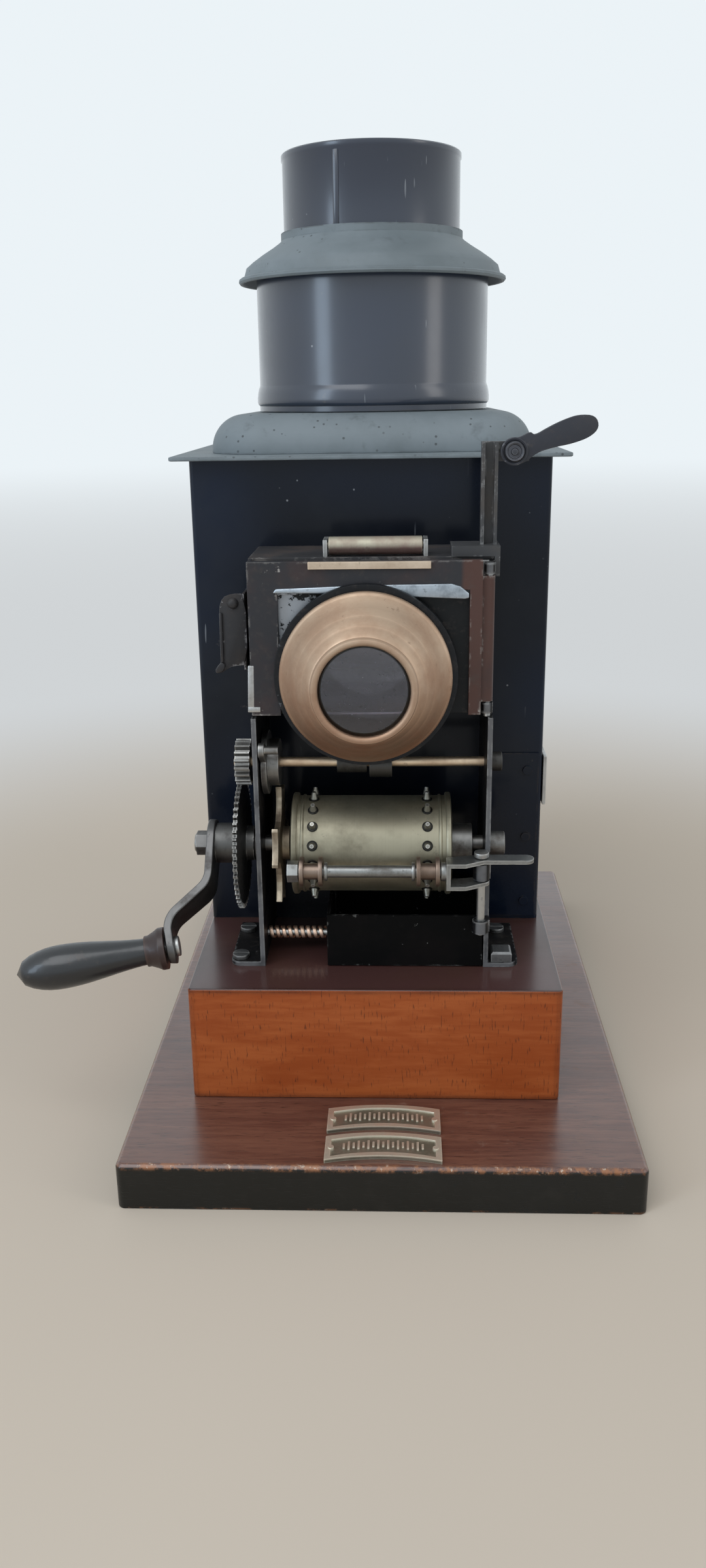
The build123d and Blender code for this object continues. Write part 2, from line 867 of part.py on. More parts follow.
def lens_board():
    """The sheet behind the frame that carries the lens, with a lip folded forward at its top."""
    left = plate_left + 0.4 + gate_left_band
    right = gate_leaf_right() - gate_right_band
    top = gate_top_z - gate_top_band
    sheet = block(left - 1.6, right + 1.6, gate_back, gate_back + gate_sheet, gate_base_z, top + 1.6)
    sheet += block(left, right, gate_front, gate_back, top - gate_sheet, top)
    return sheet - rod_y(lens_x, gate_back - 1, gate_back + gate_sheet + 1, lens_z,
                         lens_tube_radius + 2 * running_fit + lens_tube_wall)


def lens_flange():
    """The collar on the lens board, with the sleeve that the lens tube slides in."""
    bore = lens_tube_radius + running_fit
    sleeve = bore + lens_tube_wall
    front = gate_front - flange_thickness
    points = [(bore, front), (flange_radius, front), (flange_radius, gate_front), (sleeve, gate_front),
              (sleeve, gate_back + gate_sheet), (bore, gate_back + gate_sheet)]
    return turned_y(points, lens_x, lens_z)


def film_lip():
    """The brass strip at the gate's upper front edge."""
    middle = machine_offset + 0.4
    half = guide_lip_width / 2
    return block(middle - half, middle + half, gate_front - guide_lip_depth, gate_front,
                 gate_top_z - guide_lip_height, gate_top_z)


def pressure_pad():
    """The plate that holds the film on the runners, on four posts from the lens board."""
    back = film_plane - film_gap
    front = back - pad_thickness
    half = track_width / 2 + pad_margin
    low = gate_base_z + pad_lower_inset
    high = lens_z + pad_above_lens
    pad = block(film_centre - half, film_centre + half, front, back, low, high)
    hole = aperture_width / 2
    pad -= block(film_centre - hole, film_centre + hole, front - 1, back + 1,
                 lens_z - aperture_height / 2, lens_z + aperture_height / 2 + pad_window_rise)
    for x in (film_centre - half + pad_post_inset, film_centre + half - pad_post_inset):
        for z in (low + pad_post_inset, high - pad_post_inset):
            pad += rod_y(x, gate_back + gate_sheet, front, z, pad_post_radius)
    return pad


def lens_mount():
    """The turned brass lens: a wide ring, a stepped cone, a nose and the tube behind."""
    ring_back = gate_front - flange_thickness - turning_gap
    ring_front = ring_back - lens_ring_thickness
    cone_front = ring_front - lens_cone_length
    nose_front = cone_front - lens_nose_length
    tube_inner = lens_tube_radius - lens_tube_wall
    seat = lens_glass_radius
    outer = [(lens_tube_radius, gate_back + gate_sheet), (lens_tube_radius, ring_back),
             (lens_ring_radius, ring_back), (lens_ring_radius, ring_front),
             (lens_ring_radius - 0.9, ring_front - 0.5), (lens_step_radius + 0.4, cone_front),
             (lens_step_radius - 0.8, cone_front - 0.4), (lens_rim_radius + 0.7, nose_front + 1.4),
             (lens_rim_radius, nose_front)]
    glass_back = nose_front + 1.2 + lens_glass_edge
    inner = [(seat, nose_front), (seat, glass_back), (seat - 0.8, glass_back),
             (tube_inner - 2.2, cone_front + 2.0), (tube_inner, ring_back), (tube_inner, gate_back + gate_sheet)]
    return turned_y(outer + inner, lens_x, lens_z)


def glass_disc(y0, edge, radius, bulge, forward):
    """A plano-convex lens whose curved side faces the front or the back."""
    sag_radius = (radius ** 2 + bulge ** 2) / (2 * bulge)
    disc = rod_y(lens_x, y0, y0 + edge, lens_z, radius)
    centre = y0 + sag_radius - bulge if forward else y0 + edge - sag_radius + bulge
    cap = Pos(lens_x, centre, lens_z) * Sphere(sag_radius)
    span = (y0 - bulge - 1, y0) if forward else (y0 + edge, y0 + edge + bulge + 1)
    return disc + (cap & rod_y(lens_x, span[0], span[1], lens_z, radius))


def lens_glasses():
    """The front and the rear glass of the projection lens."""
    nose_front = gate_front - flange_thickness - turning_gap - lens_ring_thickness
    nose_front -= lens_cone_length + lens_nose_length
    front = glass_disc(nose_front + 1.2, lens_glass_edge, lens_glass_radius, lens_bulge, True)
    rear_y = gate_back - 1.6
    rear = glass_disc(rear_y, lens_glass_edge, lens_tube_radius - lens_tube_wall, lens_bulge, True)
    return front + rear


def gate_latch():
    """The spring leaf at the left of the gate, with its turned-out grip."""
    x, y = latch_axis()
    z0, z1 = latch_span()
    front = plate_upper_front - 1.2
    leaf = block(x - latch_sheet / 2, x + latch_sheet / 2, front, y, z0, z1)
    leaf += rod_z(x, y, z0, z1, latch_knuckle_radius)
    grip_left = x - latch_grip_width
    leaf += block(grip_left, x, front, front + latch_sheet, z0 - 1.0, z1)
    leaf += block(grip_left, grip_left + latch_sheet, front, front + 3.0, z0 - 1.0, z1 - 4.0)
    tail = block(grip_left - 1.0, grip_left + 2.6, front - 1.2, front + latch_sheet, z0 - 1.8, z0 - 0.8)
    leaf += tail
    return leaf - rod_z(x, y, z0 - 1, z1 + 1, latch_pin_radius + running_fit)


def reel_bar_y():
    """The front face of the reel bar."""
    return house_front - reel_bar_ahead


def reel_bracket():
    """The clamp on the gate's corner with the upright channel and its pivot lug."""
    right = plate_right + reel_bar_sheet * 1.6
    y0 = reel_bar_y() - 3.0
    top = gate_top_z + reel_clamp_height
    bracket = block(right - reel_clamp_length, right, y0, y0 + reel_clamp_depth, gate_top_z, top)
    bracket += block(plate_right, right, y0, y0 + reel_clamp_depth, gate_top_z - reel_clamp_lug, gate_top_z)
    bar_right = plate_right + 0.6
    bar_left = bar_right - reel_bar_width
    bar_top = top + reel_bar_height
    y = reel_bar_y()
    bar = block(bar_left, bar_right, y, y + reel_bar_depth, top, bar_top)
    bar -= block(bar_left + reel_bar_sheet, bar_right - reel_bar_sheet, y - 1,
                 y + reel_bar_depth - reel_bar_sheet, top, bar_top + 1)
    bracket += bar
    lug = block(bar_right - 0.5, bar_right + reel_lug_length, y + 1.0, y + 1.0 + reel_lug_thickness,
                bar_top - reel_lug_height, bar_top)
    bracket += lug
    x, z = reel_pivot()
    return bracket - rod_y(x, y - 2, y + 4, z, reel_pivot_radius)


def reel_pivot():
    """The reel arm's pivot along X and Z."""
    top = gate_top_z + reel_clamp_height + reel_bar_height
    return (plate_right + 0.6 + reel_lug_length / 2, top - reel_lug_height / 2)


def reel_pivot_screw():
    x, z = reel_pivot()
    y = reel_bar_y() + 1.0 - turning_gap
    arm_front = y - reel_arm_thickness
    head_back = arm_front - turning_gap
    screw = rod_y(x, head_back - reel_screw_thickness, head_back, z, reel_screw_radius)
    screw -= block(x - screw_slot / 2, x + screw_slot / 2, head_back - 3, head_back - 0.6, z - 4, z + 4)
    shank_back = reel_bar_y() + 1.0 + reel_lug_thickness + 0.4
    return screw + rod_y(x, head_back, shank_back, z, reel_pivot_radius)


def reel_arm():
    """The paddle that holds the film loop, with a shoulder beside its eye."""
    x, z = reel_pivot()
    back = reel_bar_y() + 1.0 - turning_gap
    neck = 1.9
    eye = Circle(reel_arm_eye_radius)
    start = Pos(reel_arm_eye_radius * 0.6, 0) * Circle(neck)
    end = Pos(reel_arm_length, 0) * Circle(reel_arm_end_radius)
    blade = make_hull((start + end).edges())
    shoulder = Pos(reel_arm_eye_radius + 2.0, 1.2) * Rectangle(3.6, 2.8)
    outline = eye + blade + shoulder
    arm = extrude(Rot(0, 0, reel_arm_rest_angle) * outline, reel_arm_thickness)
    arm = Pos(x, back, z) * Rot(90, 0, 0) * arm
    return arm - rod_y(x, back - 4, back + 2, z, reel_pivot_radius + running_fit)


def gear_outline(teeth, slant):
    """A toothed outline with straight flanks and the working depth of its module."""
    pitch = gear_module * teeth / 2
    root = pitch - 1.2 * gear_module
    tip = pitch + 0.7 * gear_module
    step = 2 * pi / teeth
    points = []
    for index in range(teeth):
        middle = index * step + slant
        for radius, share in ((root, -0.30), (tip, -0.13), (tip, 0.13), (root, 0.30)):
            angle = middle + share * step
            points.append((radius * cos(angle), radius * sin(angle)))
    return make_face(Polyline(points, close=True))


def drive_gear():
    """The large gear with its rim, thin web, hub and inner boss."""
    slant = pi / 2
    gear = facing(gear_left, gear_outline(gear_teeth, slant), gear_face)
    gear = Pos(0, drum_y, drum_z) * gear
    rim_inner = gear_module * gear_teeth / 2 - gear_rim_width
    recess = (gear_face - gear_web) / 2
    ring = [(gear_left - 1, crank_hub_radius), (gear_left - 1, rim_inner), (gear_left + recess, rim_inner),
            (gear_left + recess, crank_hub_radius)]
    gear -= turned_x(ring, drum_y, drum_z)
    gear += rod_x(hub_left, gear_left, drum_y, drum_z, crank_hub_radius)
    boss_right = plate_left - stud_flange_thickness - turning_gap
    gear += rod_x(gear_right, boss_right, drum_y, drum_z, stud_flange_radius)
    return gear - rod_x(hub_left - 1, boss_right + 1, drum_y, drum_z, crank_stud_radius + running_fit)


def crank_place():
    """Turns a crank piece drawn hanging straight down to its place at rest."""
    return Pos(0, drum_y, drum_z) * Rot(-crank_rest_angle, 0, 0)


def arm_end_x():
    """The X of the crank arm's middle line at the handle."""
    start = hub_left - crank_thickness / 2
    return start - crank_jog + (crank_reach - crank_jog_end) * tan(radians(crank_lean))


def crank_arm():
    """The flat arm with its outward jog and its leaning end."""
    x = hub_left - crank_thickness / 2
    far = crank_reach + crank_end_radius + 1
    far_x = x - crank_jog + (far - crank_jog_end) * tan(radians(crank_lean))
    path = FilletPolyline((x, crank_eye_radius + 1), (x, -crank_jog_start), (x - crank_jog, -crank_jog_end),
                          (far_x, -far), radius=crank_bend_radius)
    strip = extrude(Plane.XZ * trace(path, crank_thickness), crank_eye_radius + 1, both=True)
    eye = Circle(crank_eye_radius)
    end = Pos(0, -crank_reach) * Circle(crank_end_radius)
    plan = make_hull((eye + end).edges())
    arm = strip & facing(x - 3 * crank_jog, plan, 6 * crank_jog)
    arm -= rod_x(x - 3, x + 3, 0, 0, crank_stud_radius + running_fit)
    arm -= handle_axis() * Cylinder(spindle_radius, 4 * crank_thickness)
    return crank_place() * arm


def handle_axis():
    """A frame at the handle's seat on the crank arm, whose +Z runs along the handle."""
    return Pos(arm_end_x(), 0, -crank_reach) * Rot(0, -90 - crank_lean, 0)


def crank_stud():
    """The stud that carries the crank, with its flange on the plate and its nut."""
    end = arm_left - turning_gap - crank_nut_length
    stud = rod_x(end - 0.4, plate_left, drum_y, drum_z, crank_stud_radius)
    stud += rod_x(plate_left - stud_flange_thickness, plate_left, drum_y, drum_z, stud_flange_radius)
    nut = hexagon_x(end, end + crank_nut_length, drum_y, drum_z, crank_nut_radius)
    return stud + nut


def handle_spindle():
    """The riveted spindle inside the handle, with its head at the back of the arm."""
    length = spindle_share * handle_length
    half = crank_thickness / 2
    spindle = Pos(0, 0, length / 2 - half) * Cylinder(spindle_radius, length + crank_thickness - 2 * half)
    head = Pos(0, 0, -half - 0.5) * Cylinder(spindle_radius + 1.0, 1.0)
    return crank_place() * handle_axis() * (spindle + head)


def handle_profile(share):
    """The handle's radius at a share of its length."""
    if share <= handle_bulge_at:
        rise = (1 - cos(pi * share / handle_bulge_at)) / 2
        return handle_neck_radius + (handle_bulge_radius - handle_neck_radius) * rise
    fall = (share - handle_bulge_at) / (1 - handle_bulge_at)
    return handle_bulge_radius * sqrt(max(0.0, 1 - fall ** 2))


def turned_handle(points):
    """A solid turned about the handle's axis, from (radius, distance) points."""
    profile = make_face(Polyline([(r, 0, z) for r, z in points], close=True))
    return crank_place() * handle_axis() * revolve(profile, Axis.Z, 360)


def handle_base():
    """The distance from the arm's middle to the handle's inner end."""
    return crank_thickness / 2 + turning_gap


def handle_grip():
    """The turned wooden handle, bored for its spindle."""
    base = handle_base() + ferrule_length * 0.5
    length = handle_length - ferrule_length * 0.5
    bore = spindle_radius + handle_fit
    depth = spindle_share * handle_length + turning_gap
    steps = 18
    outer = [(handle_profile(i / steps), base + length * i / steps) for i in range(steps)]
    points = [(bore, base)] + outer + [(0.0, base + length), (0.0, depth), (bore, depth)]
    return turned_handle(points)


def handle_ferrule():
    """The flared metal ferrule and the collar between the handle and the arm."""
    base = handle_base()
    bore = spindle_radius + handle_fit
    seat = base + ferrule_length * 0.5
    points = [(bore, base), (handle_collar_radius, base), (handle_collar_radius, base + 0.6 * handle_collar_length),
              (ferrule_radius * 0.92, base + handle_collar_length), (handle_neck_radius + ferrule_wall, seat + 1.6),
              (handle_neck_radius + ferrule_wall, base + ferrule_length),
              (handle_neck_radius + 0.05 + 0.04 * ferrule_length, base + ferrule_length),
              (handle_neck_radius + 0.05 + 0.02 * ferrule_length, seat), (bore, seat)]
    return turned_handle(points)


def cam_angle():
    """The drive pin's direction at rest, measured from +Y towards +Z."""
    return 180.0 - cam_rest_angle


def cam_shaft():
    left = plate_left - pinion_ahead - pinion_face
    return rod_x(left - 0.6, plate_right + collar_length * 0.8, drum_y, cam_z, cam_shaft_radius)


def pinion():
    right = plate_left - pinion_ahead
    slant = -pi / 2 + pi / pinion_teeth
    wheel = facing(right - pinion_face, gear_outline(pinion_teeth, slant), pinion_face)
    wheel = Pos(0, drum_y, cam_z) * wheel
    return wheel - rod_x(right - pinion_face - 1, right + 1, drum_y, cam_z, cam_shaft_radius)


def drive_arm():
    """The driver of the star wheel: a plate with an arm, its pin and a small locking hub."""
    tip = Pos(star_pin_circle, 0) * Circle(star_pin_radius + 0.8)
    reach = make_hull((Circle(drive_arm_half_width) + tip).edges())
    face = Circle(drive_plate_radius) + reach
    plate = facing(drive_plate_left, Rot(0, 0, cam_angle()) * face, drive_plate_thickness)
    arm = Pos(0, drum_y, cam_z) * plate
    plate_right_face = drive_plate_left + drive_plate_thickness
    arm += rod_x(plate_right_face, star_right, drum_y, cam_z, drive_hub_radius)
    pin_y = drum_y + star_pin_circle * cos(radians(cam_angle()))
    pin_z = cam_z + star_pin_circle * sin(radians(cam_angle()))
    arm += rod_x(drive_plate_left, star_right + 0.6, pin_y, pin_z, star_pin_radius)
    return arm - rod_x(drive_plate_left - 1, star_right + 1, drum_y, cam_z, cam_shaft_radius)


def cam_collars():
    """The set collar and the tripping lobe on the cam shaft, and the collar outside the plate."""
    left = machine_offset - cam_collar_length - 0.9
    collars = rod_x(left, left + cam_collar_length, drum_y, cam_z, cam_collar_radius)
    lobe_left = left + cam_collar_length + 0.6
    collars += rod_x(lobe_left, lobe_left + cam_lobe_width, drum_y, cam_z - cam_lobe_offset, cam_lobe_radius)
    collars += rod_x(plate_right + turning_gap, plate_right + collar_length * 0.8, drum_y, cam_z,
                     collar_radius * 0.8)
    return collars - rod_x(left - 1, plate_right + 2 * collar_length, drum_y, cam_z, cam_shaft_radius)


def star_angle():
    """The direction of a star notch at rest: it faces the cam shaft when the drive pin points down."""
    past_notch = (cam_angle() + 270) % 360 - 180
    return 90.0 - past_notch / star_slots


def star_notch():
    """The room that the drive pin sweeps in the star at their steady ratio."""
    clearance = star_pin_radius + turning_gap
    sweep = None
    for turn in range(-60, 61, 10):
        ahead = shaft_spacing - star_pin_circle * cos(radians(turn))
        aside = star_pin_circle * sin(radians(turn))
        place = Rot(0, 0, -turn / star_slots) * Pos(ahead, aside) * Circle(clearance)
        sweep = place if sweep is None else sweep + place
    return make_hull(sweep.edges())


def star_wheel():
    """The notched star that the drive pin turns, with its hub."""
    face = Circle(star_radius)
    for index in range(star_slots):
        turn = Rot(0, 0, index * 360 / star_slots)
        face -= turn * star_notch()
        face -= turn * Rot(0, 0, 180 / star_slots) * Pos(shaft_spacing, 0) * Circle(star_lock_radius)
    wheel = facing(star_left, Rot(0, 0, star_angle()) * face, star_thickness)
    wheel = Pos(0, drum_y, drum_z) * wheel
    wheel += rod_x(star_right, drum_left, drum_y, drum_z, star_hub_radius)
    return wheel - rod_x(star_left - 1, drum_left + 1, drum_y, drum_z, drum_shaft_radius)


def tooth_places():
    """The X of each tooth row and the angle of each tooth."""
    half = film_track_pitch / 2
    rows = (film_centre - half, film_centre + half)
    turn = 360.0 / teeth_per_row
    return [(x, tooth_phase + index * turn) for x in rows for index in range(teeth_per_row)]


def sprocket_drum():
    """The hollow film drum with end discs, rims and the tooth holes."""
    left, right, rim = drum_left, drum_right, drum_radius + drum_rim
    width = drum_rim_width
    outer = [(left, rim), (left + width, rim), (left + width, drum_radius), (right - width, drum_radius),
             (right - width, rim), (right, rim)]
    body = [(left, drum_shaft_radius)] + outer + [(right, drum_shaft_radius)]
    drum = turned_x(body, drum_y, drum_z)
    inner = drum_radius - drum_wall
    drum -= turned_x([(left + width, star_hub_radius), (left + width, inner), (right - width, inner),
                      (right - width, star_hub_radius)], drum_y, drum_z)
    for x, angle in tooth_places():
        hole = Pos(x, drum_y, drum_z) * Rot(angle, 0, 0) * Pos(0, 0, drum_radius) * Cylinder(
            tooth_tip_radius + 0.2, 2.4 * drum_wall)
        drum -= hole
    return drum


def drum_teeth():
    """The film teeth, each a tapered peg rooted in its hole."""
    teeth = Part()
    for x, angle in tooth_places():
        peg = Pos(0, 0, drum_radius - drum_wall / 2) * Cylinder(tooth_tip_radius + 0.2, drum_wall)
        cone = Pos(0, 0, drum_radius + tooth_height / 2) * Cone(tooth_root_radius, tooth_tip_radius, tooth_height)
        teeth += Pos(x, drum_y, drum_z) * Rot(angle, 0, 0) * (peg + cone)
    return teeth


def drum_shaft():
    """The drum's shaft with the hub beside the drum and the collar outside the plate."""
    end = plate_right + collar_length + turning_gap
    shaft = rod_x(plate_left_inner - plate_thickness + 0.3, end, drum_y, drum_z, drum_shaft_radius)
    shaft += rod_x(drum_right, drum_right + drum_hub_length, drum_y, drum_z, drum_hub_radius)
    return shaft + rod_x(plate_right + turning_gap, plate_right + turning_gap + collar_length, drum_y, drum_z,
                         collar_radius)


def presser_bracket():
    """The bent bracket that swings on the right plate and ends in a finger lever."""
    leg_x = film_centre + film_track_pitch / 2 + presser_roller_length / 2 + bracket_leg_gap
    half = bracket_width / 2
    lower, upper = bracket_levels()
    leg = Pos(leg_x + bracket_sheet / 2, presser_y) * Rectangle(bracket_sheet, bracket_width)
    eye = Pos(presser_pin_x, presser_pin_y) * Circle(presser_knuckle_radius)
    near = Pos(leg_x + half, presser_y) * Rectangle(bracket_width, bracket_width)
    plan = make_hull((near + eye).edges())
    plan = plan + leg
    bracket = Pos(0, 0, lower) * extrude(plan, bracket_sheet)
    tip = Pos(presser_pin_x + presser_lever_reach - presser_knuckle_radius, presser_pin_y) * Circle(
        presser_knuckle_radius)
    lever = make_hull((eye + tip).edges())
    bracket += Pos(0, 0, upper) * extrude(plan + lever, bracket_sheet)
    bracket += block(leg_x, leg_x + bracket_sheet, presser_y - half, presser_y + half, lower,
                     upper + bracket_sheet)
    bracket -= rod_z(presser_pin_x, presser_pin_y, lower - 1, upper + 3, presser_pin_radius + running_fit)
    return bracket - rod_x(leg_x - 1, leg_x + 3, presser_y, presser_z, presser_shaft_radius)


def presser_shaft():
    """The shaft of the two rollers, with its inner collars, end nut and riveted end."""
    leg_x = film_centre + film_track_pitch / 2 + presser_roller_length / 2 + bracket_leg_gap
    left_end = film_centre - film_track_pitch / 2 - presser_roller_length / 2 - turning_gap
    shaft = rod_x(left_end - presser_nut_length, leg_x + bracket_sheet, presser_y, presser_z,
                  presser_shaft_radius)
    shaft += hexagon_x(left_end - presser_nut_length, left_end, presser_y, presser_z, presser_nut_radius)
    for side in (-1, 1):
        middle = film_centre + side * (film_track_pitch / 2 - presser_roller_length / 2 - turning_gap)
        near, far = sorted((middle, middle - side * presser_collar_width))
        shaft += rod_x(near, far, presser_y, presser_z, presser_collar_radius)
    right_inner = film_centre + film_track_pitch / 2 + presser_roller_length / 2 + turning_gap
    shaft += rod_x(right_inner, leg_x, presser_y, presser_z, presser_collar_radius)
    return shaft


def presser_roller_left():
    return presser_roller(-1)


def presser_roller_right():
    return presser_roller(1)


def presser_roller(side):
    """One flanged roller beside the film's perforations."""
    middle = film_centre + side * film_track_pitch / 2
    half = presser_roller_length / 2
    width = presser_flange_width
    bore = presser_shaft_radius + running_fit
    points = [(-half, bore), (-half, presser_flange_radius), (width - half, presser_flange_radius),
              (width - half, presser_barrel_radius), (half - width, presser_barrel_radius),
              (half - width, presser_flange_radius), (half, presser_flange_radius), (half, bore)]
    return turned_x([(middle + x, r) for x, r in points], presser_y, presser_z)


def channel_left():
    """The left face of the lower film channel."""
    return plate_right_inner - turning_gap - channel_width


def film_channel():
    """The open box under the drum that takes the film, pressed to the right by a spring."""
    x0 = channel_left()
    x1 = x0 + channel_width
    z0 = deck + channel_clearance
    wall = channel_wall
    box = block(x0, x1, plate_front, plate_front + channel_depth, z0, z0 + channel_height)
    box -= block(x0 + wall, x1 - wall, plate_front + wall, plate_front + channel_depth - wall,
                 z0 + wall, z0 + channel_height + 1)
    return box - rod_x(x0 - 1, x0 + wall + 1, plate_front + spring_inset, deck + spring_height,
                       spring_rod_radius + channel_clearance)


def spring_rod():
    """The rod that guides the channel's spring, riveted in the left plate."""
    y = plate_front + spring_inset
    z = deck + spring_height
    rod = rod_x(plate_left, channel_left() + spring_rod_overlap, y, z, spring_rod_radius)
    return rod + rod_x(plate_left - 0.6, plate_left, y, z, spring_rod_radius + 0.8)


def channel_spring():
    """The open coil spring between the left plate and the channel."""
    x0 = plate_left_inner + 0.2
    length = channel_left() - 0.2 - x0
    radius = spring_radius - spring_wire / 2
    rise = length - spring_wire
    path = Helix(rise / spring_turns, rise, radius)
    section = Plane(path @ 0, z_dir=path % 0) * Circle(spring_wire / 2)
    coil = sweep(section, path)
    turn = Pos(x0 + spring_wire / 2, plate_front + spring_inset, deck + spring_height) * Rot(0, 90, 0)
    return turn * coil


def condenser_cell():
    """The tube behind the front wall that holds the condenser."""
    y0 = house_front + house_wall
    outer = condenser_radius + condenser_cell_wall
    points = [(condenser_radius, y0), (outer + 3, y0), (outer + 3, y0 + 0.8), (outer, y0 + 0.8),
              (outer, y0 + condenser_cell_length), (condenser_radius, y0 + condenser_cell_length)]
    return turned_y(points, lens_x, lens_z)


def condenser_lens():
    """The plano-convex condenser in its cell."""
    y0 = house_front + house_wall + 1.0
    return glass_disc(y0, condenser_edge, condenser_radius, condenser_bulge, False)


def lamp_tank():
    """The oil tank with a filler cap."""
    z0 = deck + turning_gap
    z1 = z0 + lamp_tank_height
    x, y = machine_offset, house_middle
    points = [(0, z0), (lamp_radius, z0), (lamp_radius, z0 + 0.6 * lamp_tank_height),
              (lamp_radius - 3, z1 - 2.5), (burner_collar_radius, z1), (0, z1)]
    tank = turned_z(points, x, y)
    return tank + rod_z(x + 0.78 * lamp_radius, y, z1 - 4.0, z1 + 1.0, 2.6)


def lamp_burner():
    """The burner with its gallery for the glass and the slot for the wick."""
    z0 = lamp_burner_z
    z1 = z0 + burner_height
    x, y = machine_offset, house_middle
    gallery = z0 + 0.62 * burner_height
    points = [(0, z0), (burner_collar_radius - 1, z0), (burner_collar_radius - 1, z0 + 4),
              (burner_radius, z0 + 6), (burner_radius, gallery - 2), (lamp_glass_radius + 1.5, gallery),
              (lamp_glass_radius + 1.5, gallery + 1), (burner_radius, gallery + 1), (burner_radius - 1.5, z1 - 2),
              (burner_radius - 2.5, z1), (0, z1)]
    burner = turned_z(points, x, y)
    half = wick_width / 2 + wick_gap
    thick = wick_thickness / 2 + wick_gap
    burner -= block(x - half, x + half, y - thick, y + thick, z0 - 1, z1 + 1)
    z = wick_spindle_z()
    spindle_y = y + thick + 1.4
    burner -= rod_x(x, x + 2 * burner_collar_radius, spindle_y, z, wick_spindle_radius + running_fit)
    return burner


def wick_spindle_z():
    """The height of the wick winder's spindle."""
    return lamp_burner_z + 0.40 * burner_height


def wick():
    x, y = machine_offset, house_middle
    top = lamp_burner_z + burner_height + 1.6
    return block(x - wick_width / 2, x + wick_width / 2, y - wick_thickness / 2, y + wick_thickness / 2,
                 top - wick_height, top)


def wick_knob():
    """The wick winder: a spindle in the burner with a knurled knob."""
    y = house_middle + wick_thickness / 2 + wick_gap + 1.4
    z = wick_spindle_z()
    x0 = machine_offset + 1.0
    x1 = machine_offset + wick_spindle_length
    winder = rod_x(x0, x1, y, z, wick_spindle_radius)
    knob_face = Circle(wick_knob_radius)
    for index in range(16):
        knob_face -= Rot(0, 0, index * 22.5) * Pos(wick_knob_radius, 0) * Circle(0.35)
    return winder + Pos(0, y, z) * facing(x1, knob_face, wick_knob_length)


def lamp_glass():
    """The lamp's glass chimney on the burner's gallery."""
    z0 = lamp_burner_z + 0.62 * burner_height + 1.0
    wall = lamp_glass_wall
    r, b, h = lamp_glass_radius, lamp_glass_bulge, lamp_glass_height
    outer = [(r, z0), (r + 0.6 * b, z0 + 0.12 * h), (r + b, z0 + 0.25 * h), (r + 0.6 * b, z0 + 0.4 * h),
             (r - 1, z0 + 0.6 * h), (r - 2, z0 + h)]
    inner = [(radius - wall, z) for radius, z in reversed(outer)]
    return turned_z(outer + inner, machine_offset, house_middle)


def reflector():
    """The dished mirror behind the flame, on a stay from the burner."""
    back = house_middle + reflector_back
    sphere_radius = (reflector_radius ** 2 + reflector_sag ** 2) / (2 * reflector_sag)
    centre = back - sphere_radius
    shell = Pos(machine_offset, centre, lens_z) * (Sphere(sphere_radius) - Sphere(sphere_radius - reflector_sheet))
    dish = shell & rod_y(machine_offset, back - reflector_sag, back + 1, lens_z, reflector_radius)
    stay_z = lamp_burner_z + 8.0
    half = 3.0
    stay = block(machine_offset - half, machine_offset + half, house_middle + burner_radius - 0.4,
                 back + 1.2, stay_z, stay_z + 1.0)
    stay += block(machine_offset - half, machine_offset + half, back - 0.5, back + 1.2, stay_z, lens_z)
    return dish + (stay - rod_z(machine_offset, house_middle, stay_z - 1, stay_z + 2, burner_radius))


PIECES = {
    "base_board": base_board,
    "plinth_block": plinth_block,
    "base_badges": badges,
    "lamp_house": lamp_house,
    "front_patch": front_patch,
    "roof_plate": roof_plate,
    "roof_dome": roof_dome,
    "chimney_drum": chimney_drum,
    "chimney_cowl": chimney_cowl,
    "chimney_pipe": chimney_pipe,
    "side_door": side_door,
    "door_tab": door_tab,
    "side_plate_left": side_plate_left,
    "side_plate_right": side_plate_right,
    "foot_screws": foot_screws,
    "gate_top_plate": gate_top_plate,
    "aperture_plate": aperture_plate,
    "guide_bracket": guide_bracket,
    "guide_roller": guide_roller,
    "hinge_pins": hinge_pins,
    "gate_door": gate_door,
    "lens_board": lens_board,
    "lens_flange": lens_flange,
    "film_lip": film_lip,
    "pressure_pad": pressure_pad,
    "lens_mount": lens_mount,
    "lens_glasses": lens_glasses,
    "gate_latch": gate_latch,
    "reel_bracket": reel_bracket,
    "reel_pivot_screw": reel_pivot_screw,
    "reel_arm": reel_arm,
    "drive_gear": drive_gear,
    "crank_arm": crank_arm,
    "crank_stud": crank_stud,
    "handle_spindle": handle_spindle,
    "handle_grip": handle_grip,
    "handle_ferrule": handle_ferrule,
    "cam_shaft": cam_shaft,
    "pinion": pinion,
    "drive_arm": drive_arm,
    "cam_collars": cam_collars,
    "star_wheel": star_wheel,
    "sprocket_drum": sprocket_drum,
    "drum_teeth": drum_teeth,
    "drum_shaft": drum_shaft,
    "presser_bracket": presser_bracket,
    "presser_shaft": presser_shaft,
    "presser_roller_left": presser_roller_left,
    "presser_roller_right": presser_roller_right,
    "film_channel": film_channel,
    "spring_rod": spring_rod,
    "channel_spring": channel_spring,
    "condenser_cell": condenser_cell,
    "condenser_lens": condenser_lens,
    "lamp_tank": lamp_tank,
    "lamp_burner": lamp_burner,
    "wick": wick,
    "wick_knob": wick_knob,
    "lamp_glass": lamp_glass,
    "reflector": reflector,
}

os.makedirs("parts", exist_ok=True)
for node, make in PIECES.items():
    export_step(make(), f"parts/{node}.step")
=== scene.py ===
"""Looks of a hand-cranked film lantern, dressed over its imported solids.

The frame is in metres: +Z up, +X to the right of a person who faces the lens, +Y towards the
back of the lamp house. Sections, outlines and rounding widths are in millimetres, and what
needs metres is multiplied by MM.
"""
from __future__ import annotations

import json
import logging
import math
from dataclasses import dataclass
from enum import Enum

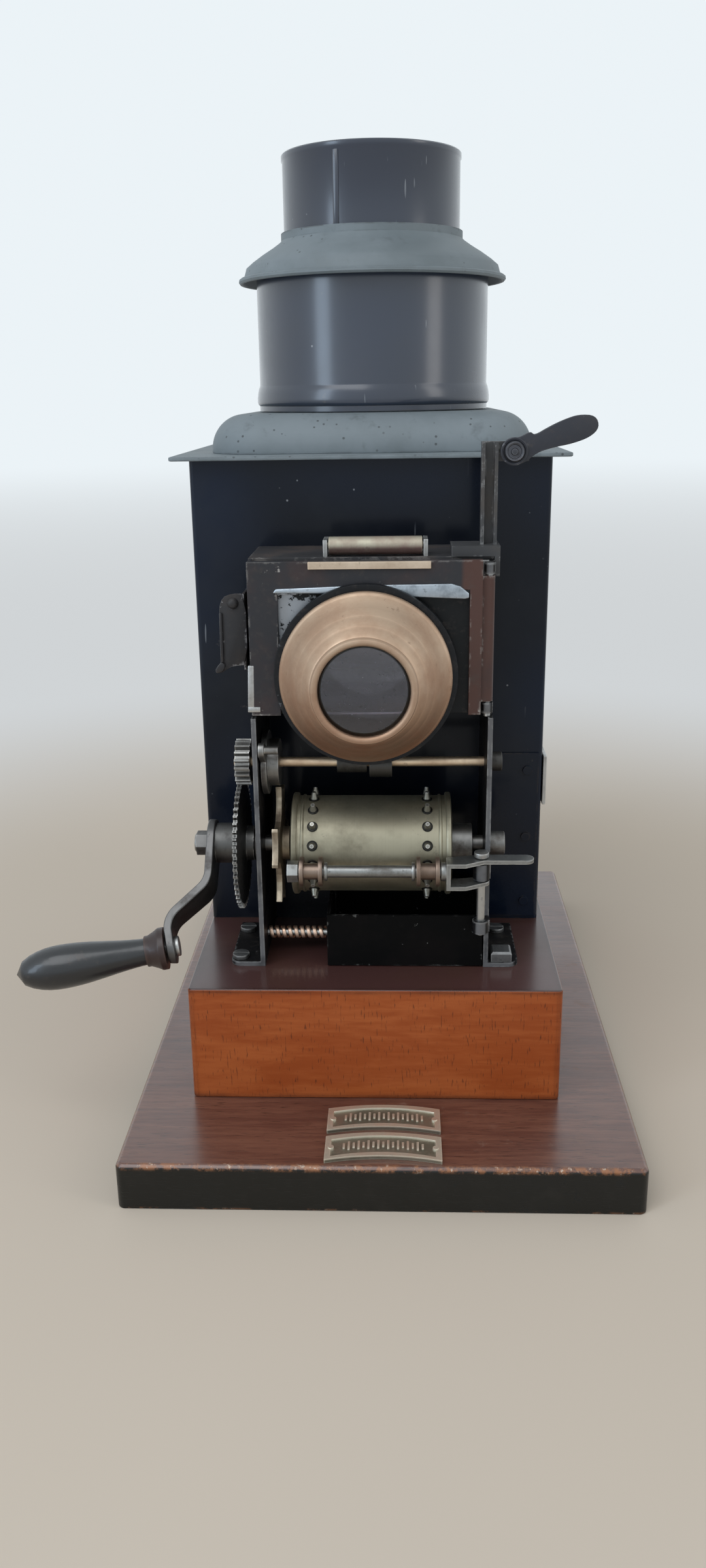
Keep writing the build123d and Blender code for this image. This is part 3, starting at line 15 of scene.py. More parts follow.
import bpy
from mathutils import Matrix, Vector

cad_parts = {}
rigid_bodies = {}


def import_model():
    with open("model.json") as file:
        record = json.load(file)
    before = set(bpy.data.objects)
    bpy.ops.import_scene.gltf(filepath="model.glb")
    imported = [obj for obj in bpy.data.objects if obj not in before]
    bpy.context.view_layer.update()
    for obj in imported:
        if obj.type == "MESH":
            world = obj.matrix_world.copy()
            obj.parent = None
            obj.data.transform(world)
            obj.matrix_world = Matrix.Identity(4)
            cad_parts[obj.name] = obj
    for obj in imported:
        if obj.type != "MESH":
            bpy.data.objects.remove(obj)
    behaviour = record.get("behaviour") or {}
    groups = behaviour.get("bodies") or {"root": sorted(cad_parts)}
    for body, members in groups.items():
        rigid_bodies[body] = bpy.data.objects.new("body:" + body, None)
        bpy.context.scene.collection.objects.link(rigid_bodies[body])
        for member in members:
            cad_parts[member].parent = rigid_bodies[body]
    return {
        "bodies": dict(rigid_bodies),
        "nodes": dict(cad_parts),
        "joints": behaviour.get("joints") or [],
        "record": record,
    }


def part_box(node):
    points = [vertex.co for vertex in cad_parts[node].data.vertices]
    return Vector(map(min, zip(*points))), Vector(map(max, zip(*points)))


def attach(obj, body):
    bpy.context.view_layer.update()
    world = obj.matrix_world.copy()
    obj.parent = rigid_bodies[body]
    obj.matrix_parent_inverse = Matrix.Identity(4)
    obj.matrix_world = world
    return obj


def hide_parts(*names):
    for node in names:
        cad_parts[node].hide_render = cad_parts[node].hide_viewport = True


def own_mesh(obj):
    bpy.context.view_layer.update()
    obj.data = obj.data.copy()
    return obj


MM = 0.001
LOG = logging.getLogger("film_lantern")
Colour = tuple[float, float, float]
Point = tuple[float, float, float]
Flat = tuple[float, float]


def shade(colour: Colour, share: float) -> Colour:
    """A colour made darker or brighter, up to white."""
    return tuple(min(1.0, part * share) for part in colour)


class Along(Enum):
    """An axis, as the two numbers of the axes across it and its own."""

    X = (1, 2, 0)
    Y = (0, 2, 1)
    Z = (0, 1, 2)

    def line(self) -> Vector:
        """The axis as a vector."""
        return Vector([float(self.value[2] == number) for number in range(3)])


class Term:
    """A number that changes over a surface, carried by one socket."""

    def __init__(self, tree: bpy.types.NodeTree, socket: bpy.types.NodeSocket) -> None:
        """Holds the socket and its tree."""
        self.tree = tree
        self.socket = socket

    def _join(self, operation: str, first: Term | float, second: Term | float = 0.0,
              clamp: bool = False) -> Term:
        """Adds one Math node.

        Args:
            operation: The Math node's operation.
            first: The first value.
            second: The second value.
            clamp: Whether the result is held between 0 and 1.

        Returns:
            The node's result.
        """
        settings = {"operation": operation, "use_clamp": clamp}
        return Term(self.tree, Graph(self.tree).node("ShaderNodeMath", settings,
                                                     {0: first, 1: second}).outputs[0])

    def __add__(self, other: Term | float) -> Term:
        """Sum."""
        return self._join("ADD", self, other)

    def __sub__(self, other: Term | float) -> Term:
        """Difference."""
        return self._join("SUBTRACT", self, other)

    def __rsub__(self, other: float) -> Term:
        """Difference from a number."""
        return self._join("SUBTRACT", other, self)

    def __mul__(self, other: Term | float) -> Term:
        """Product."""
        return self._join("MULTIPLY", self, other)

    __radd__ = __add__
    __rmul__ = __mul__

    def held(self) -> Term:
        """The same number held between 0 and 1."""
        return self._join("ADD", self, clamp=True)

    def top(self, other: Term | float) -> Term:
        """The larger of two numbers."""
        return self._join("MAXIMUM", self, other)

    def size(self) -> Term:
        """The number without its sign."""
        return self._join("ABSOLUTE", self)

    def root(self) -> Term:
        """The square root."""
        return self._join("SQRT", self)

    def sine(self) -> Term:
        """The sine of an angle in radians."""
        return self._join("SINE", self)


class Graph:
    """A node tree and the one move that fills it."""

    def __init__(self, tree: bpy.types.NodeTree) -> None:
        """Holds the tree."""
        self.tree = tree

    def node(self, kind: str, settings: dict[str, object] | None = None,
             sockets: dict[str | int, object] | None = None) -> bpy.types.Node:
        """Adds one node.

        Args:
            kind: The node's type.
            settings: Its settings, which are set first.
            sockets: Values, sockets or terms for its inputs, by name or number.

        Returns:
            The new node.
        """
        node = self.tree.nodes.new(kind)
        for key, value in (settings or {}).items():
            setattr(node, key, value)
        for key, value in (sockets or {}).items():
            slot = node.inputs[key]
            source = value.socket if isinstance(value, Term) else value
            if isinstance(source, bpy.types.NodeSocket):
                self.tree.links.new(source, slot)
            else:
                slot.default_value = (*source, 1.0) if slot.type == "RGBA" else source
        return node

    def term(self, socket: bpy.types.NodeSocket) -> Term:
        """A socket as a term."""
        return Term(self.tree, socket)


class Coat(Graph):
    """One material and the moves that fill its node tree."""

    def __init__(self, name: str) -> None:
        """Makes an empty material.

        Args:
            name: Its name.
        """
        self.material = bpy.data.materials.new(name)
        self.material.use_nodes = True
        super().__init__(self.material.node_tree)
        self.tree.nodes.clear()
        self.surface = self.node("ShaderNodeTexCoord")
        self.place = self.surface.outputs["Object"]

    def mapped(self, scale: Point, turn: Point = (0, 0, 0), move: Point = (0, 0, 0)) -> bpy.types.NodeSocket:
        """Object coordinates, moved, turned and scaled.

        Args:
            scale: The scale along each axis.
            turn: The turn about each axis in radians.
            move: The move that comes last, in the scaled units.

        Returns:
            The vector's socket.
        """
        node = self.node("ShaderNodeMapping", None, {
            "Vector": self.place, "Location": move, "Rotation": turn, "Scale": scale})
        return node.outputs["Vector"]

    def parts(self, vector: bpy.types.NodeSocket | None = None) -> list[Term]:
        """Object coordinates, or another vector, as three terms."""
        node = self.node("ShaderNodeSeparateXYZ", None, {"Vector": vector or self.place})
        return [self.term(part) for part in node.outputs]

    def facing(self) -> list[Term]:
        """The surface's own direction as three terms."""
        return self.parts(self.surface.outputs["Normal"])

    def noise(self, scale: float, detail: float = 3.0, rough: float = 0.5,
              vector: bpy.types.NodeSocket | None = None, swirl: float = 0.0) -> Term:
        """Soft random cloud between 0 and 1.

        Args:
            scale: How fine the cloud is, per metre.
            detail: How many finer layers it has.
            rough: How strong those layers are.
            vector: The coordinates, or none for Object coordinates.
            swirl: How much the cloud is distorted.

        Returns:
            The cloud's value.
        """
        node = self.node("ShaderNodeTexNoise", {"noise_dimensions": "3D"}, {
            "Vector": vector or self.place, "Scale": scale, "Detail": detail,
            "Roughness": rough, "Distortion": swirl})
        return self.term(node.outputs[0])

    def grain(self, scale: Point, detail: float, rough: float = 0.5, swirl: float = 0.0) -> Term:
        """A cloud drawn out along the axes where its scale is small.

        Args:
            scale: How fine it is along each axis, per metre.
            detail: How many finer layers it has.
            rough: How strong those layers are.
            swirl: How much it is distorted.

        Returns:
            The cloud's value.
        """
        return self.noise(1.0, detail, rough, self.mapped(scale), swirl)

    def cells(self, scale: float) -> Term:
        """The distance to scattered points, which are closer together where scale is large."""
        node = self.node("ShaderNodeTexVoronoi", {"feature": "F1"}, {"Vector": self.place, "Scale": scale})
        return self.term(node.outputs["Distance"])

    def ease(self, value: Term, low: float, high: float, start: float = 0.0, end: float = 1.0) -> Term:
        """A smooth step from start to end while value goes from low to high.

        Args:
            value: The number that is read.
            low: Where the step begins.
            high: Where it ends.
            start: The result before it.
            end: The result after it.

        Returns:
            The stepped number.
        """
        node = self.node("ShaderNodeMapRange", {"interpolation_type": "SMOOTHSTEP"}, {
            "Value": value, "From Min": low, "From Max": high, "To Min": start, "To Max": end})
        return self.term(node.outputs[0])

    def edges(self, radius: float, low: float = 0.03, high: float = 0.22) -> Term:
        """1 on sharp edges and 0 away from them.

        Args:
            radius: How far from the edge it reaches, in metres.
            low: The bend at which the mask begins.
            high: The bend at which it is full.

        Returns:
            The mask.
        """
        soft = self.node("ShaderNodeBevel", {"samples": 6}, {"Radius": radius}).outputs[0]
        true = self.node("ShaderNodeNewGeometry").outputs["True Normal"]
        dot = self.node("ShaderNodeVectorMath", {"operation": "DOT_PRODUCT"}, {0: soft, 1: true})
        return self.ease(1.0 - self.term(dot.outputs["Value"]), low, high)

    def layers(self, ground: object, *over: tuple[Term | float, object]) -> bpy.types.NodeSocket:
        """Lays colours over one another.

        Args:
            ground: The lowest colour, or its socket.
            over: How much of each further layer shows, with its colour.

        Returns:
            The upper colour's socket.
        """
        for share, colour in over:
            ground = self.node("ShaderNodeMix", {"data_type": "RGBA"}, {0: share, 6: ground,
                                                                        7: colour}).outputs[2]
        return ground

    def relief(self, height: Term, strength: float, depth: float) -> bpy.types.NodeSocket:
        """Turns a height into a normal.

        Args:
            height: The height, around 0 to 1.
            strength: How strongly it shows.
            depth: The height of 1 in metres.

        Returns:
            The normal's socket.
        """
        return self.node("ShaderNodeBump", None, {
            "Height": height, "Strength": strength, "Distance": depth}).outputs[0]

    def finish(self, sockets: dict[str | int, object]) -> bpy.types.Material:
        """Closes the material with one Principled shader.

        Args:
            sockets: Its values, sockets and terms.

        Returns:
            The material.
        """
        shader = self.node("ShaderNodeBsdfPrincipled", None, sockets)
        self.node("ShaderNodeOutputMaterial", None, {"Surface": shader.outputs[0]})
        return self.material


@dataclass(frozen=True)
class JapanBlack:
    """Glossy blue-black japan on sheet steel, scratched and rubbed at its edges."""

    name: str
    colour: Colour = (0.0040, 0.0056, 0.0096)
    blue: Colour = (0.0060, 0.0120, 0.0280)
    gloss: float = 0.24
    level: float = 0.12
    coat: float = 0.22
    coat_gloss: float = 0.13
    dust: Colour = (0.022, 0.025, 0.031)
    scratch: Colour = (0.26, 0.28, 0.31)
    dot: Colour = (0.30, 0.31, 0.33)
    chip: Colour = (0.13, 0.11, 0.095)
    edge: Colour = (0.075, 0.060, 0.050)

    def make(self) -> bpy.types.Material:
        """Builds the node tree.

        Returns:
            The material.
        """
        coat = Coat(self.name)
        cloud = coat.noise(26, 4, 0.6)
        fine = coat.noise(420, 3, 0.6)
        lines = None
        for turn, seed in ((0.6, 1.7), (-0.9, 5.1), (2.2, 9.3)):
            along = coat.mapped((900, 900, 85), (turn, turn * 0.9, 0.4), (seed, seed, seed))
            streak = coat.ease(coat.noise(1.0, 1, 0.4, along), 0.755, 0.775)
            lines = streak if lines is None else lines.top(streak)
        marks = lines * coat.ease(coat.noise(46, 2), 0.56, 0.66)
        dots = coat.ease(coat.cells(260), 0.085, 0.055) * coat.ease(coat.noise(60, 2), 0.56, 0.66)
        chips = coat.ease(coat.noise(190, 4, 0.65), 0.668, 0.70) * coat.ease(cloud, 0.54, 0.64)
        rubbed = coat.edges(0.8 * MM) * coat.ease(coat.noise(240, 3, 0.6), 0.46, 0.60)
        shown = coat.layers(self.colour, (coat.ease(coat.noise(11, 2), 0.40, 0.62), self.blue),
                            (coat.ease(cloud, 0.45, 0.75, 0.0, 0.42), self.dust), (marks * 0.6, self.scratch),
                            (dots * 0.7, self.dot), (chips * 0.35, self.chip), (rubbed * 0.6, self.edge))
        rough = self.gloss + 0.20 * coat.ease(cloud, 0.3, 0.8) + 0.1 * (fine - 0.5) + 0.18 * marks
        skin = coat.relief(fine * 0.5 + coat.noise(60, 2) * 2.0 - marks, 0.12, 0.12 * MM)
        return coat.finish({"Base Color": shown, "Roughness": rough.held(), "Metallic": rubbed * 0.4,
                            "Specular IOR Level": self.level, "Coat Weight": self.coat,
                            "Coat Roughness": self.coat_gloss, "Normal": skin})


@dataclass(frozen=True)
class DustyPaint:
    """Matte grey-green stove paint with dust, rubs and small chips."""

    name: str
    colour: Colour = (0.200, 0.232, 0.250)
    dark: Colour = (0.132, 0.158, 0.170)
    dirt: Colour = (0.060, 0.070, 0.074)
    speck: Colour = (0.018, 0.018, 0.018)
    edge: Colour = (0.022, 0.022, 0.022)

    def make(self) -> bpy.types.Material:
        """Builds the node tree.

        Returns:
            The material.
        """
        coat = Coat(self.name)
        cloud = coat.noise(34, 5, 0.62)
        dirty = coat.ease(coat.noise(110, 4, 0.7), 0.56, 0.74)
        specks = coat.ease(coat.cells(420), 0.16, 0.10) * coat.ease(cloud, 0.45, 0.6)
        rubbed = coat.edges(1.0 * MM) * coat.ease(coat.noise(180, 3), 0.40, 0.60)
        shown = coat.layers(self.dark, (coat.ease(cloud, 0.30, 0.72), self.colour), (dirty * 0.45, self.dirt),
                            (specks * 0.7, self.speck), (rubbed * 0.8, self.edge))
        return coat.finish({"Base Color": shown, "Roughness": 0.48 + 0.2 * coat.ease(cloud, 0.3, 0.7),
                            "Normal": coat.relief(coat.noise(900, 2, 0.6) + 2.0 * cloud, 0.25, 0.06 * MM)})


@dataclass(frozen=True)
class WornPaint:
    """Brown-black japan, chipped to bright metal at its edges, and round a spot if it has one, with a painted
    highlight on faces turned to the front if asked.
    """

    name: str
    colour: Colour = (0.016, 0.013, 0.012)
    brown: Colour = (0.060, 0.030, 0.020)
    metal: Colour = (0.42, 0.39, 0.36)
    wear: float = 1.0
    gloss: float = 0.34
    level: float = 0.2
    spot: Point | None = None
    spot_size: float = 11.5 * MM
    brown_from: float | None = None
    coat: float = 0.12
    dust: float = 0.35
    front_highlight: float = 0.0
    dirt: Colour = (0.075, 0.062, 0.055)
    front_highlight_colour: Colour = (0.16, 0.16, 0.165)

    def flakes(self, coat: Coat) -> Term:
        """The paint that has come off round the spot.

        Args:
            coat: The material.

        Returns:
            The mask.
        """
        away = [part - at for part, at in zip(coat.parts(), self.spot)]
        far = (away[0] * away[0] + away[1] * away[1] + away[2] * away[2]).root()
        inside = coat.ease(far, self.spot_size, self.spot_size * 0.35)
        flake = coat.ease(coat.noise(520, 5, 0.7) + 0.26 * inside, 0.66, 0.70)
        return flake * coat.ease(inside, 0.02, 0.30)

    def make(self) -> bpy.types.Material:
        """Builds the node tree.

        Returns:
            The material.
        """
        coat = Coat(self.name)
        cloud = coat.noise(70, 4, 0.6)
        grain = coat.noise(520, 3, 0.65)
        turned = coat.ease(cloud, 0.46, 0.70)
        if self.brown_from is not None:
            side = coat.ease(coat.parts()[0], self.brown_from, self.brown_from + 1.2 * MM)
            turned = (turned * 0.35 + side * coat.ease(cloud, 0.20, 0.55, 0.55, 1.0)).held()
        chips = coat.ease(coat.noise(300, 4, 0.7) + 0.16 * (coat.edges(1.2 * MM) * self.wear), 0.68, 0.72)
        bare = chips.top(coat.edges(0.5 * MM) * coat.ease(coat.noise(150, 3, 0.6), 0.50, 0.62) * self.wear)
        if self.spot is not None:
            bare = bare.top(self.flakes(coat))
        dusty = coat.ease(grain, 0.5, 0.8) * self.dust
        shown = coat.layers(self.colour, (turned, self.brown), (dusty, self.dirt))
        # A mottled light grey on faces turned to the front: painted highlight.
        if self.front_highlight > 0.0:
            front = coat.ease(coat.facing()[1], -0.70, -0.92)
            front = front * coat.ease(coat.noise(120, 3, 0.6), 0.30, 0.50, 0.5, 1.0)
            shown = coat.layers(shown, (front * self.front_highlight, self.front_highlight_colour))
        rough = self.gloss + 0.25 * coat.ease(cloud, 0.3, 0.7) + 0.08 * (grain - 0.5)
        return coat.finish({"Base Color": coat.layers(shown, (bare * 0.85, self.metal)),
                            "Roughness": rough.held(), "Metallic": bare * 0.6,
                            "Specular IOR Level": self.level, "Coat Weight": self.coat, "Coat Roughness": 0.2,
                            "Normal": coat.relief(grain * 0.7 - bare * 0.8, 0.28, 0.08 * MM)})


@dataclass(frozen=True)
class TurnedBrass:
    """Lathe-turned brass with tarnish; its lines follow one axis."""

    name: str
    axis: Along
    centre: Point
    colour: Colour
    tarnish: Colour
    shine: float = 0.33
    lines: float = 1.0
    spread: float = 0.55
    low: Flat | None = None

    def make(self) -> bpy.types.Material:
        """Builds the node tree.

        Returns:
            The material.
        """
        coat = Coat(self.name)
        place = coat.parts()
        first, second, own = self.axis.value
        across, up = place[first] - self.centre[first], place[second] - self.centre[second]
        radius = (across * across + up * up).root()
        lathe = coat.node("ShaderNodeCombineXYZ", None, {
            0: radius * 9000.0, 1: place[own] * 9000.0, 2: across * 60.0})
        ring = coat.noise(1.0, 2, 0.6, lathe.outputs[0])
        cloud = coat.noise(95, 5, 0.65)
        spots = coat.ease(coat.noise(420, 4, 0.7), 0.62, 0.74)
        tarnish_and_darker_below = coat.ease(cloud, 0.36, 0.70) * self.spread
        # Where low is given the colour darkens towards the bottom: painted shade on the lens and the guide
        # roller, the patina of the plate's ground on the badges.
        if self.low is not None:
            tarnish_and_darker_below = (tarnish_and_darker_below + coat.ease(place[2], self.low[1], self.low[0]) * 0.75).held()
        shown = coat.layers(self.colour, (tarnish_and_darker_below, self.tarnish),
                            ((ring - 0.5).size() * 0.7, shade(self.colour, 0.55)),
                            (spots * 0.5, shade(self.tarnish, 0.6)),
                            (coat.edges(0.7 * MM) * 0.7, shade(self.colour, 1.25)))
        rough = self.shine + 0.20 * coat.ease(cloud, 0.3, 0.75) + 0.10 * (ring - 0.5) + 0.1 * spots
        return coat.finish({"Base Color": shown, "Roughness": rough.held(), "Metallic": 1.0 - 0.35 * spots,
                            "Normal": coat.relief(ring * self.lines + 0.6 * cloud, 0.22, 0.04 * MM)})


@dataclass(frozen=True)
class BareSteel:
    """Plated or oiled steel with fine rub marks, stains and darker patches."""

    name: str
    colour: Colour = (0.46, 0.46, 0.45)
    stain: Colour = (0.12, 0.09, 0.07)
    shine: float = 0.34
    stained: float = 0.5
    edge: Colour = (0.78, 0.78, 0.76)

    def make(self) -> bpy.types.Material:
        """Builds the node tree.

        Returns:
            The material.
        """
        coat = Coat(self.name)
        cloud = coat.noise(160, 5, 0.65)
        rub = coat.noise(1.0, 2, 0.5, coat.mapped((1500, 260, 260), (0.2, 0.4, 0.1)))
        pits = coat.ease(coat.noise(700, 3, 0.7), 0.62, 0.72)
        bright = coat.edges(0.6 * MM) * coat.ease(coat.noise(320, 2), 0.30, 0.50)
        shown = coat.layers(self.colour, ((rub - 0.5).size() * 0.8, shade(self.colour, 0.6)),
                            (coat.ease(cloud, 0.46, 0.72) * self.stained, self.stain),
                            (pits * 0.45, shade(self.stain, 0.5)), (bright * 0.8, self.edge))
        rough = self.shine + 0.25 * coat.ease(cloud, 0.4, 0.8) + 0.1 * (rub - 0.5)
        return coat.finish({"Base Color": shown, "Roughness": rough.held(), "Metallic": 0.95 - 0.4 * pits,
                            "Normal": coat.relief(rub * 0.5 - pits, 0.22, 0.05 * MM)})


@dataclass(frozen=True)
class BoardWood:
    """Dark varnished board: mahogany on top, blackened sides and a rubbed upper edge."""

    name: str
    top: float
    half_width: float
    half_length: float
    colour: Colour = (0.095, 0.038, 0.028)
    pale: Colour = (0.165, 0.072, 0.048)
    pore: Colour = (0.020, 0.010, 0.008)
    scuffed: Colour = (0.26, 0.17, 0.125)
    black: Colour = (0.0038, 0.0040, 0.0032)
    dusty_black: Colour = (0.012, 0.011, 0.009)
    bare: Colour = (0.36, 0.15, 0.065)
    fibre: Colour = (0.62, 0.52, 0.42)

    def make(self) -> bpy.types.Material:
        """Builds the node tree.

        Returns:
            The material.
        """
        coat = Coat(self.name)
        x, y, z = coat.parts()
        grain = coat.grain((70, 900, 900), 5, 0.62, 0.4)
        broad = coat.grain((14, 90, 90), 3, 0.55, 1.2)
        pores = coat.ease(coat.grain((260, 3200, 3200), 2), 0.60, 0.70)
        cloud = coat.noise(30, 4, 0.6)
        scuff = coat.ease(coat.noise(210, 4, 0.72), 0.575, 0.64) * coat.ease(cloud, 0.50, 0.62)
        wood = coat.layers(self.colour, (coat.ease(grain * 0.6 + broad * 0.4, 0.36, 0.64), self.pale),
                           (pores * 0.7, self.pore), (scuff * 0.28, self.scuffed))
        side = coat.ease(coat.facing()[2], 0.75, 0.45)
        dusty = coat.ease(coat.noise(150, 4, 0.6), 0.5, 0.75) * 0.5
        black = coat.layers(self.black, (dusty, self.dusty_black))
        rim = coat.ease(z, self.top - 1.6 * MM, self.top - 0.3 * MM)
        beside = coat.ease(x.size() - self.half_width, -1.8 * MM, -0.4 * MM) * 0.25
        outer = beside.top(coat.ease(y.size() - self.half_length, -1.8 * MM, -0.4 * MM))
        rub = rim * outer * coat.ease(coat.noise(330, 5, 0.75), 0.44, 0.60)
        corner = coat.edges(1.6 * MM) * coat.ease(coat.noise(260, 4, 0.7), 0.50, 0.60)
        bare = rub.top(corner * outer.top(0.2))
        fibres = bare * coat.ease(coat.noise(900, 3, 0.6), 0.58, 0.66)
        shown = coat.layers(wood, (side, black), (bare * 0.9, self.bare), (fibres * 0.8, self.fibre))
        rough = 0.30 + 0.20 * coat.ease(cloud, 0.35, 0.75) + 0.3 * scuff + 0.2 * bare
        return coat.finish({"Base Color": shown, "Roughness": rough.held(), "Specular IOR Level": 0.35,
                            "Coat Weight": (1.0 - 0.8 * side - 0.3 * bare).held(), "Coat Roughness": 0.22,
                            "Normal": coat.relief(grain * 0.8 - pores - 0.6 * scuff - bare, 0.30, 0.10 * MM)})


@dataclass(frozen=True)
class BlockWood:
    """Reddish-brown block with short dark flecks, darkened edges and a dark top, its lighter front partly
    painted light.
    """

    name: str
    colour: Colour = (0.310, 0.064, 0.0140)
    pale: Colour = (0.400, 0.100, 0.0260)
    fleck: Colour = (0.060, 0.018, 0.010)
    top: Colour = (0.074, 0.032, 0.029)
    pale_top: Colour = (0.075, 0.034, 0.027)
    edge: Colour = (0.030, 0.012, 0.009)
    nick: Colour = (0.42, 0.22, 0.12)

    def make(self) -> bpy.types.Material:
        """Builds the node tree.

        Returns:
            The material.
        """
        coat = Coat(self.name)
        up = coat.facing()[2]
        broad = coat.grain((26, 26, 110), 4, 0.6, 0.9)
        ring = coat.grain((120, 120, 900), 3, 0.5, 0.3)
        fleck = coat.ease(coat.grain((2600, 2600, 330), 2), 0.61, 0.71)
        cloud = coat.noise(48, 4, 0.6)
        top = coat.layers(self.top, (coat.ease(cloud, 0.4, 0.7), self.pale_top))
        near = coat.edges(3.0 * MM, 0.004, 0.12) * coat.ease(cloud, 0.30, 0.62, 0.35, 0.95)
        nick = coat.edges(0.9 * MM) * coat.ease(coat.noise(300, 4, 0.7), 0.57, 0.64)
        # The upright faces' bright orange against the dark top is partly the top plank's own dark varnish and
        # partly painted light: the front is coloured as lit from the front.
        shown = coat.layers(self.colour, (coat.ease(broad * 0.65 + ring * 0.35, 0.36, 0.64), self.pale),
                            (fleck * 0.65, self.fleck), (coat.ease(up, 0.45, 0.80), top),
                            (near, self.edge), (nick * 0.8, self.nick))
        return coat.finish({"Base Color": shown, "Specular IOR Level": 0.18,
                            "Roughness": 0.36 + 0.18 * coat.ease(cloud, 0.35, 0.75) + 0.1 * fleck,
                            "Coat Weight": coat.ease(up, 0.45, 0.80, 0.10, 1.0), "Coat Roughness": 0.20,
                            "Normal": coat.relief(ring * 0.5 - fleck, 0.28, 0.10 * MM)})


@dataclass(frozen=True)
class Lacquer:
    """Polished lacquer on turned wood, rubbed in places."""

    name: str
    colour: Colour = (0.0095, 0.0105, 0.0125)
    rub: Colour = (0.060, 0.042, 0.034)
    gloss: float = 0.28
    coat: float = 0.4

    def make(self) -> bpy.types.Material:
        """Builds the node tree.

        Returns:
            The material.
        """
        coat = Coat(self.name)
        cloud = coat.noise(120, 4, 0.6)
        marks = coat.ease(coat.noise(260, 4, 0.7), 0.60, 0.70)
        worn = coat.edges(0.9 * MM) * coat.ease(cloud, 0.4, 0.6)
        shown = coat.layers(self.colour, (marks * 0.35, self.rub), (worn * 0.6, self.rub))
        rough = self.gloss + 0.18 * coat.ease(cloud, 0.35, 0.75) + 0.12 * marks
        return coat.finish({"Base Color": shown, "Roughness": rough.held(),
                            "Coat Weight": self.coat, "Coat Roughness": 0.14,
                            "Normal": coat.relief(coat.noise(900, 2, 0.6) * 0.5 + cloud, 0.10, 0.08 * MM)})


@dataclass(frozen=True)
class ClearGlass:
    """Glass with a faint tint, haze and a few dust specks."""

    name: str
    tint: Colour = (0.86, 0.84, 0.90)
    speck: Colour = (0.50, 0.50, 0.50)
    haze: float = 0.03

    def make(self) -> bpy.types.Material:
        """Builds the node tree.

        Returns:
            The material.
        """
        coat = Coat(self.name)
        cloud = coat.noise(140, 4, 0.6)
        specks = coat.ease(coat.cells(620), 0.10, 0.06)
        return coat.finish({"Base Color": coat.layers(self.tint, (specks * 0.5, self.speck)),
                            "Roughness": self.haze + 0.10 * coat.ease(cloud, 0.5, 0.8) + 0.3 * specks,
                            "IOR": 1.5, "Transmission Weight": 1.0,
                            "Normal": coat.relief(cloud, 0.02, 0.05 * MM)})


@dataclass(frozen=True)
class SilveredMirror:
    """Silvered sheet with a little clouding."""

    name: str
    silver: Colour = (0.80, 0.80, 0.79)
    spot: Colour = (0.22, 0.19, 0.15)

    def make(self) -> bpy.types.Material:
        """Builds the node tree.

        Returns:
            The material.
        """
        coat = Coat(self.name)
        cloud = coat.noise(120, 4, 0.65)
        spots = coat.ease(coat.noise(480, 4, 0.7), 0.63, 0.72)
        return coat.finish({"Base Color": coat.layers(self.silver, (spots * 0.6, self.spot)),
                            "Roughness": 0.08 + 0.16 * cloud, "Metallic": 1.0,
                            "Normal": coat.relief(cloud, 0.05, 0.05 * MM)})


@dataclass(frozen=True)
class WovenCotton:
    """Flat woven wick, charred at its upper end."""

    name: str
    burnt_from: float
    low: Colour = (0.52, 0.47, 0.38)
    high: Colour = (0.70, 0.66, 0.56)
    char: Colour = (0.012, 0.010, 0.009)

    def make(self) -> bpy.types.Material:
        """Builds the node tree.

        Returns:
            The material.
        """
        coat = Coat(self.name)
        x, _, z = coat.parts()
        weave = (x * 5200.0).sine() * (z * 4200.0).sine()
        charred = coat.ease(z + 0.004 * coat.noise(600, 3), self.burnt_from, self.burnt_from + 5 * MM)
        shown = coat.layers(self.low, (coat.ease(weave, -0.6, 0.6), self.high), (charred, self.char))
        return coat.finish({"Base Color": shown, "Roughness": 0.9,
                            "Normal": coat.relief(weave * 0.5 + 0.5, 0.5, 0.20 * MM)})


@dataclass(frozen=True)
class PaleFloor:
    """Plain pale floor that fades into the surroundings far away."""

    name: str
    far: Colour
    colour: Colour = (0.66, 0.57, 0.475)
    haze: Colour = (0.63, 0.655, 0.67)
    dark: Colour = (0.0, 0.0, 0.0)

    def make(self) -> bpy.types.Material:
        """Builds the node tree.

        Returns:
            The material.
        """
        coat = Coat(self.name)
        x, y, _ = coat.parts()
        reach = (x * x + y * y).root()
        away = coat.ease(reach, 0.17, 0.46)
        haze = coat.layers(self.haze, (coat.ease(reach, 0.55, 3.2), self.far))
        cloud = coat.ease(coat.noise(5, 3), 0.3, 0.7)
        near = coat.layers(self.colour, (cloud * 0.35, shade(self.colour, 0.95)))
        return coat.finish({"Base Color": coat.layers(near, (away, self.dark)),
                            "Emission Color": coat.layers(self.dark, (away, haze)),
                            "Emission Strength": 1.0, "Roughness": 0.62, "Specular IOR Level": 0.0,
                            "Normal": coat.relief(coat.noise(700, 2), 0.04, 0.1 * MM)})


